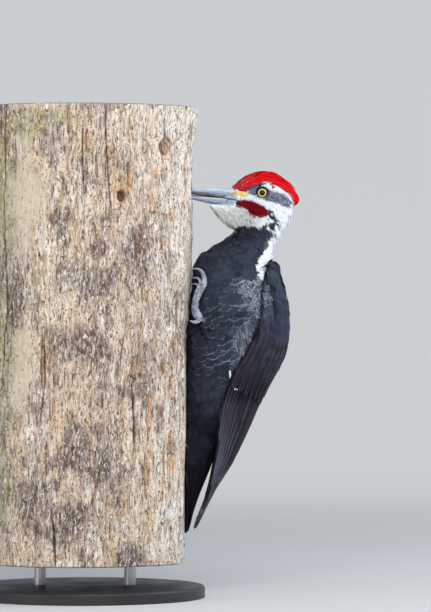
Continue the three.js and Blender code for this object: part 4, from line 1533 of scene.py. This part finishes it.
def makeFeet():
    s, scales, horn = legShape, legPaint(), clawPaint()
    for side in signs:
        leg = fused(f"leg_{side}_scaled", [f"leg_{side}"], **legBuild)
        points, normals = pointsOf(leg.data), normalsOf(leg.data)
        slimToes(points, s["slim"])
        joint = np.mean([middleOf(f"claw_{side}_{toe}") for toe in toeNames], axis=0)
        reach = np.linalg.norm(points - joint, axis=1) + 0.25 * wobble(points, 6, 21)
        ring = np.abs((reach / s["scute"]) % 1 - 0.5) * 2
        seam = smooth(0.75, 1.0, ring)
        away = smooth(-0.5, 0.2, normals[:, 0])  # scutes lie on the front and top, pebbles behind
        lift = s["rise"] * (1 - seam) * away + s["pebble"] * wobble(points, 1.3, 23)
        setPoints(leg.data, points + normals * lift[:, None])
        addField(leg.data, "seam", seam * away)
        # painted highlight on the faces turned toward +X, where the light falls
        addField(leg.data, "top", smooth(-0.1, 0.8, normals[:, 0]))
        leg.data.materials.append(scales)
        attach(leg, "root")
        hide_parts(f"leg_{side}")
        legTree = treeOf(points, trianglesOf(leg.data))
        for toe in toeNames:
            claw = fused(f"claw_{side}_{toe}_horn", [f"claw_{side}_{toe}"], 0.24, 6, 0.15, 2)
            points = pointsOf(claw.data)
            near, _, _ = nearestOn(legTree, points)
            gap = np.linalg.norm(points - near, axis=1)
            addField(claw.data, "tip", smooth(1.5, 9, gap))
            claw.data.materials.append(horn)
            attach(claw, "root")
            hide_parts(f"claw_{side}_{toe}")


makeFeet()
print("feet made")


# Trunk: a fine sheet wrapped round the perch, with grain, checks, slits, flaking layers and a
# fibrous worn face. Angles run from +X, so the camera's side is at -90 degrees.
trunkBuild = dict(
    columns=880, rows=300, capRings=26, margin=1.2, grain=0.45, flake=0.5, chip=0.55, fibre=0.8,
    slits=900, slitDepth=1.4, splinters=46,
)
holeAt, holeSize = np.array([107.0, 0, 401]), np.array([10.0, 8, 11])  # a hollow that opens toward the bill
# long checks: angle in degrees, lower and upper height, width and depth
trunkChecks = [(-131, 210, 489, 1.6, 5.0), (-109.5, 178, 262, 1.3, 4.0), (-103, 36, 90, 1.8, 5.0)]
trunkChecks += [(-76, 380, 489, 1.2, 3.0), (-61, 150, 205, 2.4, 4.0), (-68, 228, 262, 1.4, 3.5)]
trunkChecks += [(-88, 395, 470, 1.1, 2.5), (25, 60, 280, 1.5, 4.5), (74, 200, 489, 1.8, 5.5)]
trunkChecks += [(118, 36, 250, 1.5, 5.0), (165, 120, 420, 2.0, 6.0), (-160, 36, 240, 1.5, 4.5)]
# checks across the sawn ends: heading, width, and how near the middle they begin
capChecks = [(0.35, 0.05, 0.1), (1.15, 0.03, 0.55), (2.2, 0.035, 0.3), (3.5, 0.06, 0.05)]
capChecks += [(4.3, 0.03, 0.5), (5.4, 0.04, 0.2)]
# blots on the camera's side, each by its middle's x and height, half width and half height
weatherBlots = [(-5, 252, 28, 18), (55, 220, 16, 34), (-6, 158, 11, 22), (20, 132, 11, 24)]
weatherBlots += [(-42, 108, 22, 42), (-12, 82, 28, 20), (47, 45, 20, 18), (16, 347, 9, 12)]
weatherBlots += [(55, 345, 11, 26), (-18, 373, 10, 20), (-65, 298, 8, 30), (8, 315, 20, 18)]
calmBlots = [(-57, 396, 18, 62), (-57, 223, 13, 46)]  # smooth pale faces
amberBlots = [(76, 140, 22, 84), (92, 250, 10, 56), (66, 412, 5, 30)]  # orange streaks
algaeBlots = [(-76, 330, 12, 190), (-60, 468, 36, 16), (-78, 120, 10, 60), (-30, 474, 40, 10)]
# chips that bare the orange wood, given the same way
trunkChips = [(81, 447, 5.5, 9), (79, 426, 1.8, 12), (26, 440, 2.6, 7), (6, 452, 1.6, 12), (46, 419, 2.6, 12)]
trunkChips += [(-12, 474, 1.6, 15), (76, 397, 2, 3), (85, 402, 2, 3.4), (93, 290, 1.8, 5), (87, 378, 1.6, 5)]
trunkChips += [(65, 180, 2.4, 22), (62, 130, 2.2, 20), (88, 217, 2.2, 7), (78, 352, 1.6, 8)]
trunkChips += [(-38, 236, 1.7, 30), (-34, 143, 1.7, 18), (50, 216, 1.4, 26)]


def readGrid(grid, up, around, ease):
    # values between the knots of a grid whose columns close round the trunk
    i, j = np.minimum(up.astype(int), len(grid) - 2)[:, None], around.astype(int)[None]
    a, b = ease(up[:, None] - i), ease(around[None] - j)
    k = (j + 1) % grid.shape[1]
    lower = grid[i, j] * (1 - b) + grid[i, k] * b
    upper = grid[i + 1, j] * (1 - b) + grid[i + 1, k] * b
    return lower * (1 - a) + upper * a


def lattice(cellsUp, cellsAround, seed, shape):
    # smooth random values from -1 to 1
    knots = np.random.default_rng(seed).uniform(-1, 1, (cellsUp + 3, cellsAround))
    around = np.arange(shape[1]) / shape[1] * cellsAround
    return readGrid(knots, np.linspace(0, cellsUp, shape[0]), around, lambda t: t * t * (3 - 2 * t))


def blots(x, z, front, places, ragged):
    total = np.zeros(x.shape)
    for cx, cz, rx, rz in places:
        away = np.hypot((x - cx) / rx, (z - cz) / rz) + ragged
        total = np.maximum(total, smooth(1.15, 0.5, away) * front)
    return total


def trunkSurface():
    # the perch's radius on the sheet's grid, by rays from the trunk's axis, with the hollow filled
    s = trunkBuild
    shape = (s["rows"] + 1, s["columns"])
    heights = np.linspace(trunkLow[2] + s["margin"], trunkHigh[2] - s["margin"], shape[0])
    turn = np.arange(shape[1]) / shape[1] * 2 * math.pi - math.pi
    tree = surfaceOf(nodes["perch_trunk"].data)[0]
    coarseUp, coarseAround = np.linspace(heights[0], heights[-1], 120), 360
    angles = np.arange(coarseAround) / coarseAround * 2 * math.pi - math.pi
    zz, aa = np.meshgrid(coarseUp, angles, indexing="ij")
    rays = np.stack([np.cos(aa), np.sin(aa), 0 * aa], -1).reshape(-1, 3)
    starts = np.stack([0 * zz, 0 * zz, zz], -1).reshape(-1, 3)
    _, spots, _ = castOut(tree, starts, rays)
    radius = np.hypot(spots[:, 0], spots[:, 1]).reshape(zz.shape)
    gap = np.hypot(radius * np.sin(aa) / (holeSize[1] + 1.5), (zz - holeAt[2]) / (holeSize[2] + 2))
    inHole = gap < 1
    radius = np.where(inHole & (np.cos(aa) > 0), trunkAt(380.0) / np.maximum(np.cos(aa), 0.5), radius)
    for _ in range(3):
        radius = (np.roll(radius, 1, 1) + np.roll(radius, -1, 1) + 2 * radius) / 4
    up = np.interp(heights, coarseUp, np.arange(120))
    around = (turn + math.pi) / (2 * math.pi) * coarseAround
    return heights, turn, readGrid(radius, up, around, np.positive)


def laid(shape, *layers):
    # lattices laid over each other, each a strength, cells up, cells around and a seed
    return sum(strength * lattice(*cells, shape) for strength, *cells in layers)


def deepen(field, values):
    np.maximum(field, values, out=field)


# How weathered, calm, streaked, mossy and fibrous the wood is from place to place.
def trunkWear(x, y, zz, front):
    shape = x.shape
    ragged = laid(shape, (0.3, 40, 60, 33), (0.22, 90, 150, 34), (0.15, 150, 440, 35))
    torn = laid(shape, (0.55, 16, 40, 64), (0.4, 40, 120, 65)) + 0.25 * ragged
    random = laid(shape, (1, 4, 26, 36), (0.6, 14, 60, 37)) + 0.5 * torn
    random = smooth(0.3, 0.9, random) * smooth(-50, 30, y)
    weather = np.maximum(blots(x, zz, front, weatherBlots, torn), random * 0.9)
    weather = np.clip(weather + 0.5 * smooth(0.35, 0.95, laid(shape, (1, 24, 60, 38)) + torn), 0, 1)
    calm = blots(x, zz, front, calmBlots, 0.6 * torn)
    behind = smooth(0.3, 0.8, laid(shape, (1, 5, 8, 39)) + ragged * 0.5) * smooth(0, 60, y)
    return {
        "ragged": ragged,
        "calm": calm,
        "weather": weather * (1 - calm),
        "amber": blots(x, zz, front, amberBlots, 0.7 * torn),
        "algae": np.maximum(blots(x, zz, front, algaeBlots, ragged * 0.8), 0.8 * behind),
        "worn": smooth(38, 104, x + laid(shape, (22, 12, 40, 40), (14, 30, 120, 66))),  # under the bird
    }


# Grain, flakes, chips and fibres, all read along the wandering grain.
def trunkRelief(wear, sway):
    s, shape = trunkBuild, sway.shape
    up, around = np.indices(shape)
    around = (around + np.round(sway / (2 * math.pi) * shape[1]).astype(int)) % shape[1]

    def grain(*layers):
        return laid(shape, *layers)[up, around]

    fine = grain((1, 40, 440, 41))
    streaks = grain((0.6, 9, 300, 42), (0.5, 22, 420, 43))
    layer = grain((1, 14, 44, 45), (0.5, 30, 110, 46)) + 0.25 * fine
    chips = grain((1, 46, 200, 61), (0.6, 90, 330, 62), (0.4, 30, 90, 63))
    fibres = grain((0.6, 9, 290, 47), (0.6, 34, 440, 48)) + 0.3 * chips
    relief = s["grain"] * (grain((0.7, 8, 120, 44)) + 0.5 * streaks + 0.3 * fine)
    relief += s["flake"] * (smooth(0.12, 0.2, layer) + 0.8 * smooth(0.62, 0.7, layer))
    relief += s["chip"] * (smooth(0.25, 0.4, chips) - 0.8 * smooth(-0.1, -0.25, chips))
    relief += s["fibre"] * wear["worn"] * (fibres - 0.4)
    relief = relief * (1 - 0.6 * wear["calm"]) - 0.45 * wear["weather"] * (0.6 + wear["ragged"])
    rot = wear["worn"] * smooth(0.1, -0.55, fibres) * smooth(-0.5, 0.4, grain((1, 9, 60, 49)) + 0.3)
    rot = np.maximum(rot, wear["amber"] * smooth(0.1, 0.35, grain((1, 9, 300, 67)) + 0.4 * fine))
    return relief, rot, smooth(0.2, 0.45, chips) * 0.6 + smooth(0.12, 0.2, layer) * 0.4


def cutChips(relief, rot, dark, x, zz, front, ragged):
    for cx, cz, rx, rz in trunkChips:
        away = np.hypot((x - cx) / rx, (zz - cz) / rz) + 0.4 * ragged
        chip = smooth(1.1, 0.85, away) * front
        lip = smooth(0.3, 0.8, away) * smooth(0.5, -0.4, (x - cx) / rx)  # shaded on the left
        relief -= 1.3 * chip
        deepen(rot, chip)
        deepen(dark, 0.85 * chip * lip)


def cutChecks(relief, dark, wound, zz, arc):
    uneven = 0.6 + 0.5 * np.abs(lattice(50, 4, 50, relief.shape))
    for angle, low, high, width, depth in trunkChecks:
        off = np.abs(np.degrees(wound) - angle + 1.1 * np.sin(zz / 31 + angle)) * arc
        ends = smooth(low - 8, low + 18, zz) * smooth(high + 8, high - 18, zz)
        cut = smooth(width * uneven, 0, off) * ends
        relief -= depth * cut
        # painted shade inside the check
        deepen(dark, smooth(0, 0.5, cut))


# Short slits all over the trunk, about half of them only nicks, with painted shade inside.
def cutSlits(relief, dark, rowGap, spin):
    s, shape = trunkBuild, relief.shape
    columnGap = 2 * math.pi * 112 / shape[1]
    for _ in range(s["slits"]):
        ci, cj = spin.integers(4, shape[0] - 4), spin.integers(0, shape[1])
        tall, wide = spin.uniform(2, 9) * spin.uniform(0.6, 1.5), spin.uniform(0.6, 1.2)
        if spin.random() < 0.5:
            tall, wide = spin.uniform(0.9, 2.2), spin.uniform(0.7, 1.1)
        reachUp, reachAcross = int(tall / rowGap) + 1, int(wide * 2 / columnGap) + 2
        rows = np.arange(max(ci - reachUp, 0), min(ci + reachUp + 1, shape[0]))
        columns = np.arange(cj - reachAcross, cj + reachAcross + 1)
        dz = (rows - ci)[:, None] * rowGap
        dx = (columns - cj)[None] * columnGap - spin.normal(0, 0.05) * dz
        pit = smooth(1.0, 0.3, np.hypot(dx / wide, dz / tall))
        where = np.ix_(rows, columns % shape[1])
        relief[where] -= s["slitDepth"] * pit * min(1, tall / 4)
        # painted shade inside the slit
        dark[where] = np.maximum(dark[where], pit)


def sawEnds(turn, radius, sheet, fields, spin):
    index = np.arange(radius.size).reshape(radius.shape)
    points, faces, total = [sheet], [wrapFaces(*radius.shape)], len(sheet)
    fields = {name: [values.ravel()] for name, values in fields.items()}
    shares = np.concatenate([[0.992], np.linspace(0.975, 0.0, trunkBuild["capRings"]) ** 0.8])
    for row, level, sign in ((0, trunkLow[2], -1), (-1, trunkHigh[2], 1)):
        before = index[row]
        for number, share in enumerate(shares):
            check = np.zeros(len(turn))
            for heading, width, inner in capChecks:
                bent = heading + 0.05 * math.sin(9 * share + heading)
                off = np.abs((turn - bent + math.pi) % (2 * math.pi) - math.pi)
                cut = smooth(width * (0.3 + share), 0, off) * smooth(inner, inner + 0.2, share)
                check = np.maximum(check, cut)
            inset = 0.1 + 0.12 * spin.random(len(turn)) + 1.8 * check * (sign > 0) + 0.5 * (number == 0)
            ring = radius[row] * share
            points.append(np.stack([ring * np.cos(turn), ring * np.sin(turn), level - sign * inset], 1))
            now = total + np.arange(len(turn))
            total += len(turn)
            step = np.stack([before, now, np.roll(now, -1), np.roll(before, -1)], 1)
            faces.append(step[:, ::-sign])
            # the end checks get painted shade
            values = {"cap": 1, "ring": share, "dark": check, "weather": 0.35 * smooth(0.7, 1.0, share)}
            for name in fields:
                fields[name].append(np.broadcast_to(values.get(name, 0.0), turn.shape))
            before = now
    fields = {name: np.concatenate(parts) for name, parts in fields.items()}
    return np.concatenate(points), np.concatenate(faces), fields


def makeTrunk(material):
    heights, turn, base = trunkSurface()
    zz, aa = np.meshgrid(heights, turn, indexing="ij")
    x, y = base * np.cos(aa), base * np.sin(aa)
    front = smooth(10, -30, y)
    wear = trunkWear(x, y, zz, front)
    ragged = wear["ragged"]
    sway = laid(base.shape, (0.03, 7, 9, 31), (0.008, 26, 30, 32))  # the grain wanders
    relief, rot, layer = trunkRelief(wear, sway)
    dark, spin = np.zeros(base.shape), np.random.default_rng(52)
    cutChips(relief, rot, dark, x, zz, front, ragged)
    cutChecks(relief, dark, aa + sway, zz, base * math.pi / 180)
    cutSlits(relief, dark, heights[1] - heights[0], spin)

    # a pecked hole, with bared wood round it and painted shade inside
    peck = smooth(1.1, 0.9, np.hypot((x - 39) / 4.2, (zz - 398) / 5.6) + 0.3 * ragged) * front
    relief -= 6.5 * peck
    deepen(rot, smooth(2.6, 1.0, np.hypot((x - 41) / 4, (zz - 404) / 9) + ragged) * front * 0.8)
    deepen(dark, peck * 0.9)
    radius = base + relief
    inside = (y / holeSize[1]) ** 2 + ((zz - holeAt[2]) / holeSize[2]) ** 2 + 0.12 * ragged
    bowl = (inside < 1) & (x > 0)
    deep = holeAt[0] - holeSize[0] * np.sqrt(np.clip(1 - inside, 0, 1)) * 0.96
    radius = np.where(bowl, np.minimum(radius, deep / np.maximum(np.cos(aa), 0.5)), radius)
    hole = np.where(x > 0, smooth(1.15, 0.7, inside), 0)
    birdClear = (np.abs(y) < 46) & (x > 0) & (zz > 60) & (zz < 352)
    radius = np.where(birdClear, np.minimum(radius, base + 0.15), radius)
    points = np.stack([radius * np.cos(aa), radius * np.sin(aa), zz], -1).reshape(-1, 3)
    fields = {name: wear[name] for name in ("weather", "algae", "worn", "calm")}
    fields |= {"rot": rot, "dark": dark, "hole": hole, "layer": layer, "cap": 0 * base, "ring": 0 * base}
    points, faces, fields = sawEnds(turn, radius, points, fields, spin)
    trunk = meshFrom("trunk_wood", points, faces, material, fields)
    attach(trunk, "root")
    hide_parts("perch_trunk")
    return heights, turn, radius


woodTones = tones(
    cream=(0.60, 0.46, 0.345), tan=(0.30, 0.205, 0.125), straw=(0.83, 0.72, 0.57),
    fibre=(0.86, 0.84, 0.80), orange=(0.50, 0.25, 0.075), umber=(0.085, 0.057, 0.053),
    slit=(0.045, 0.024, 0.019), moss=(0.33, 0.31, 0.10), grey=(0.29, 0.28, 0.265),
    rust=(0.30, 0.135, 0.035), mauve=(0.33, 0.245, 0.225), honey=(0.60, 0.37, 0.13),
    calm=(0.57, 0.50, 0.39), stain=(0.20, 0.145, 0.135),
)


def woodPaint():
    p, c = Paint("weathered_wood"), woodTones
    drift = p.noise(p.place((1, 1, 0.5)), 60, 3, 0.55, out="Color")
    sway = {0: drift, 1: (0.012, 0.012, 0.03), 2: p.place()}
    warped = p.node("ShaderNodeVectorMath", {"operation": "MULTIPLY_ADD"}, sway)

    def along(stretch):
        return p.node("ShaderNodeMapping", {}, {"Vector": warped, "Scale": (1, 1, stretch)})

    def spots(stretch, scale, detail, rough, low, high):
        return p.span(p.noise(along(stretch), scale, detail, rough), low, high)

    def cells(stretch, scale, channel):
        tones = p.node("ShaderNodeTexVoronoi", {}, {"Vector": along(stretch), "Scale": scale}, "Color")
        return p.node("ShaderNodeSeparateColor", {}, {"Color": tones}, channel)

    long = p.noise(along(0.07), 190, 4, 0.62)
    thin = p.noise(along(0.10), 560, 4, 0.65)
    hair = p.noise(along(0.08), 1500, 2, 0.5)
    cloud = p.noise(p.place((1, 1, 0.3)), 22, 4, 0.6)
    speck = p.noise(p.place((1, 1, 0.45)), 300, 4, 0.7)
    shard, flake = cells(0.16, 330.0, "Red"), cells(0.22, 130.0, "Green")
    pores = p.node("ShaderNodeTexVoronoi", {}, {"Vector": p.place((1, 1, 0.6)), "Scale": 230.0}, "Distance")
    pinholes = p.span(pores, 0.17, 0.1) * p.span(cloud, 0.44, 0.56)
    weather, worn, algae, dark = p.field("weather"), p.field("worn"), p.field("algae"), p.field("dark")
    patches = p.span(p.noise(p.place((1, 1, 0.45)), 26, 3, 0.5), 0.42, 0.58)
    pitted = 1 - p.field("calm") * 0.75
    rough = pitted * (patches * 0.6 + 0.4).most(weather)
    stain = p.span(cloud, 0.50, 0.60) * spots(0.2, 420, 4, 0.7, 0.53, 0.60)
    seams = spots(0.04, 150, 3, 0.6, 0.52, 0.60) * spots(0.22, 620, 3, 0.7, 0.50, 0.58)
    grime = spots(0.05, 260, 5, 0.7, 0.56, 0.66)
    ripple = p.field("ring") + cloud * 0.12 + p.noise(p.place((1, 1, 0)), 60, 3, 0.6) * 0.02
    rings = p.noise(p.node("ShaderNodeCombineXYZ", {}, {0: ripple}), 34, 3, 0.6)
    sawn = p.layered(c["tan"], [
        (p.span(rings, 0.38, 0.62) * 0.8, c["cream"]),
        (p.span(cloud, 0.42, 0.62) * 0.6, c["grey"]),
        (p.span(speck, 0.55, 0.66) * 0.7, c["umber"]),
        (p.span(p.field("ring") + speck * 0.1, 0.98, 1.04) * 0.7, c["umber"]),
        # painted shade in the end checks
        (dark * 0.85, c["slit"]),
    ])
    color = p.layered(c["tan"], [
        (p.span(long, 0.39, 0.60).most(0.85 - rough * 0.75), c["cream"]),
        (p.span(thin, 0.48, 0.58) * 0.75, c["straw"]),
        (p.span(flake, 0.62, 0.8) * rough * 0.4, c["mauve"]),
        (p.span(cloud, 0.46, 0.7) * rough * 0.5, c["mauve"]),
        (p.span(shard, 0.8, 0.86) * rough * 0.55, c["fibre"]),
        (p.span(shard, 0.16, 0.08) * p.span(flake, 0.5, 0.3) * 0.7, c["umber"]),
        (p.span(flake, 0.2, 0.1) * p.span(thin, 0.4, 0.55) * 0.5, c["honey"]),
        (p.field("layer") * 0.3, c["straw"]),
        (worn * p.span(thin, 0.32, 0.52) * 0.9, c["fibre"]),
        (p.field("rot") * p.span(hair, 0.25, 0.55) * 0.95, c["orange"]),
        (p.field("calm") * 0.7, c["calm"]),
        (algae * p.span(speck, 0.34, 0.58) * 0.7, c["moss"]),
        (algae * p.span(long, 0.46, 0.6) * 0.75, c["grey"]),
        (weather * p.span(thin, 0.66, 0.42) * 0.75, c["mauve"]),
        (weather * p.span(speck, 0.38, 0.54) * 0.75, c["stain"]),
        (weather * p.span(speck, 0.49, 0.54) * p.span(long, 0.66, 0.5) * 0.95, c["umber"]),
        (weather * p.span(shard, 0.7, 0.75) * 0.4, c["grey"]),
        (stain * rough * 0.85, c["umber"]),
        (spots(0.3, 560, 3, 0.6, 0.575, 0.61) * pitted * 0.85, c["umber"]),
        (spots(0.4, 850, 2, 0.5, 0.60, 0.65) * pitted * 0.85, c["slit"]),
        (spots(0.3, 480, 3, 0.6, 0.59, 0.62) * rough * 0.7, c["fibre"]),
        (seams * rough * (worn * 0.5 + 0.35), c["rust"]),
        (grime * rough * (1 - worn * 0.3) * 0.85, c["umber"]),
        (pinholes * 0.85, c["slit"]),
        (p.span(hair, 0.60, 0.72) * 0.35, c["tan"]),
        # painted shade in checks, slits, the pecked hole and on the left of each chip
        (dark * 0.92, c["slit"]),
        (p.field("hole") * (p.span(hair, 0.3, 0.6) * 0.5 + 0.45), c["orange"]),
        (p.field("cap"), sawn),
    ])
    height = thin * 0.5 + hair * 0.2 + speck * 0.35 + shard * 0.3 + flake * 0.3 - pinholes * 0.6
    return p.finish({
        "Base Color": color,
        "Roughness": 0.78 + hair * 0.12,
        "Specular IOR Level": 0.25,
        "Normal": p.bump(height, 0.8, 0.9),
    })


weatheredWood = woodPaint()
trunkGrid = makeTrunk(weatheredWood)
print("trunk made")


# Splinters stand off the worn face and the hole's rim.
def makeSplinters(grid, material):
    heights, turn, radius = grid
    spin = np.random.default_rng(71)
    points, faces = [], []
    lap = np.arange(5) / 5 * 2 * math.pi
    for _ in range(trunkBuild["splinters"]):
        angle = math.radians(spin.choice([-1, 1]) * spin.uniform(17, 34))
        z = spin.uniform(70, 470)
        row = min(int(np.searchsorted(heights, z)), len(heights) - 1)
        base = radius[row, int(np.searchsorted(turn, angle))] - 0.4
        long, thick = spin.uniform(4, 13), spin.uniform(0.25, 0.55)
        way = spin.choice([-1, 1])
        stand = spin.uniform(0.15, 0.5)
        out = np.array([math.cos(angle), math.sin(angle), 0])
        lane = np.array([-math.sin(angle), math.cos(angle), 0])
        t = np.linspace(0, 1, 6)[:, None]
        rise = way * long * t * (1 - 0.2 * stand * t)
        spine = (base + long * stand * t**1.6) * out + (z + rise) * np.array([0, 0, 1])
        rings = 1.4 * lane * np.cos(lap)[:, None] + 0.6 * out * np.sin(lap)[:, None]
        faces.append(wrapFaces(6, 5) + 30 * len(points))
        points.append((spine[:, None] + thick * (1 - 0.9 * t)[..., None] * rings[None]).reshape(-1, 3))
    points, faces = np.concatenate(points), np.concatenate(faces)
    names = ["weather", "algae", "rot", "dark", "hole", "calm", "layer", "cap", "ring"]
    fields = {name: np.zeros(len(points)) for name in names} | {"worn": np.ones(len(points))}
    pieces = meshFrom("trunk_splinters", points, faces, material, fields)
    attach(pieces, "root")
    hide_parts("perch_trunk")


makeSplinters(trunkGrid, weatheredWood)


# Stand: satin black base with a fine cast texture, and brushed steel rods.
standTones = tones(
    enamel=(0.012, 0.012, 0.013), rubbed=(0.028, 0.028, 0.030), steel=(0.42, 0.42, 0.43),
    bright=(0.62, 0.62, 0.62),
)


def standPaint():
    p, c = Paint("stand_enamel"), standTones
    grain = p.noise(p.place(), 1400, 2, 0.5)
    wear = p.noise(p.place(), 35, 3, 0.6)
    return p.finish({
        "Base Color": p.mix(p.span(wear, 0.4, 0.7) * 0.5, c["enamel"], c["rubbed"]),
        "Roughness": 0.38 + p.span(wear, 0.35, 0.7) * 0.14,
        "Normal": p.bump(grain, 0.12, 0.06),
    })


def steelPaint():
    p, c = Paint("stand_steel"), standTones
    brush = p.noise(p.place((1, 1, 0.02)), 1800, 3, 0.6)
    return p.finish({
        "Base Color": p.mix(brush, c["steel"], c["bright"]),
        "Metallic": 1.0,
        "Roughness": 0.24 + brush * 0.16,
        "Normal": p.bump(brush, 0.12, 0.04),
    })


def roundPiece(name, node, material, bevel):
    piece = meshFrom(name, *nodeArrays(node), material)
    weld(piece, 0.01)
    rim = piece.modifiers.new("bevel", "BEVEL")
    rim.width, rim.segments = bevel * mm, 3
    rim.limit_method, rim.angle_limit = "ANGLE", math.radians(35)
    applyModifiers(piece)
    piece.modifiers.new("normals", "WEIGHTED_NORMAL").keep_sharp = True
    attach(piece, "root")
    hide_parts(node)


steel = steelPaint()
roundPiece("base_plate", "stand_base", standPaint(), 0.6)
roundPiece("rod_left", "stand_rod_left", steel, 0.3)
roundPiece("rod_right", "stand_rod_right", steel, 0.3)
print("stand made")


# Studio: a pale floor that fades into the sky, one large soft key from the upper right, two fills.
studio = dict(
    floor=(0.62, 0.63, 0.64, 1), floorPale=(0.70, 0.71, 0.72, 1), fadeFrom=450, fadeTo=2600, key=42.0,
    fill=13.0, rim=15.0, catch=2.0, aim=(90.0, 0.0, 290.0),
)
skyTones = [(0.0, (0.60, 0.62, 0.64)), (0.12, (0.58, 0.605, 0.63)), (0.35, (0.34, 0.365, 0.40))]


def areaLight(name, place, size, watts, tone):
    data = bpy.data.lights.new(name, "AREA")
    data.energy, data.size, data.color = watts, size, tone
    light = bpy.data.objects.new(name, data)
    light.location = place
    aim = Vector(studio["aim"]) * mm - Vector(place)
    light.rotation_euler = aim.to_track_quat("-Z", "Y").to_euler()
    bpy.context.scene.collection.objects.link(light)


def makeStudio():
    p = Paint("floor_paper")
    tone = p.mix(p.noise(p.place(), 3, 2) * 0.2, studio["floor"], studio["floorPale"])
    paper = p.finish({"Base Color": tone, "Roughness": 0.85, "Alpha": p.field("fade")})
    turn = np.linspace(0, 2 * math.pi, 96, endpoint=False)
    reaches = [0.5, 400, 900, 1500, 2200, 3000, 4000, 5200, 6800]
    points = np.concatenate([np.stack([r * np.cos(turn), r * np.sin(turn), 0 * turn], 1) for r in reaches])
    fade = smooth(studio["fadeTo"], studio["fadeFrom"], np.hypot(points[:, 0], points[:, 1]))
    floor = meshFrom("floor", points, wrapFaces(len(reaches), 96)[:, [0, 3, 2, 1]], paper, {"fade": fade})
    areaLight("key", (0.5, -2.0, 1.6), 1.5, studio["key"], (1.0, 0.98, 0.95))
    areaLight("fill", (-1.8, -1.5, 0.7), 1.6, studio["fill"], (0.92, 0.96, 1.0))
    areaLight("rim", (1.5, 0.2, 1.1), 1.2, studio["rim"], (0.88, 0.94, 1.0))
    areaLight("catch", (-0.1, -1.6, 1.1), 0.12, studio["catch"], (1.0, 1.0, 1.0))
    world = bpy.data.worlds.new("studio")
    world.use_nodes = True
    p = Paint(world.node_tree)
    upward = p.node("ShaderNodeSeparateXYZ", {}, {0: p.node("ShaderNodeTexCoord", out="Generated")}, out="Z")
    sky = p.node("ShaderNodeBackground", {}, {"Color": p.ramp(upward, skyTones), "Strength": 1.0})
    p.node("ShaderNodeOutputWorld", {}, {"Surface": sky})
    bpy.context.scene.world = world
    bpy.context.scene.view_settings.view_transform = "Standard"


makeStudio()
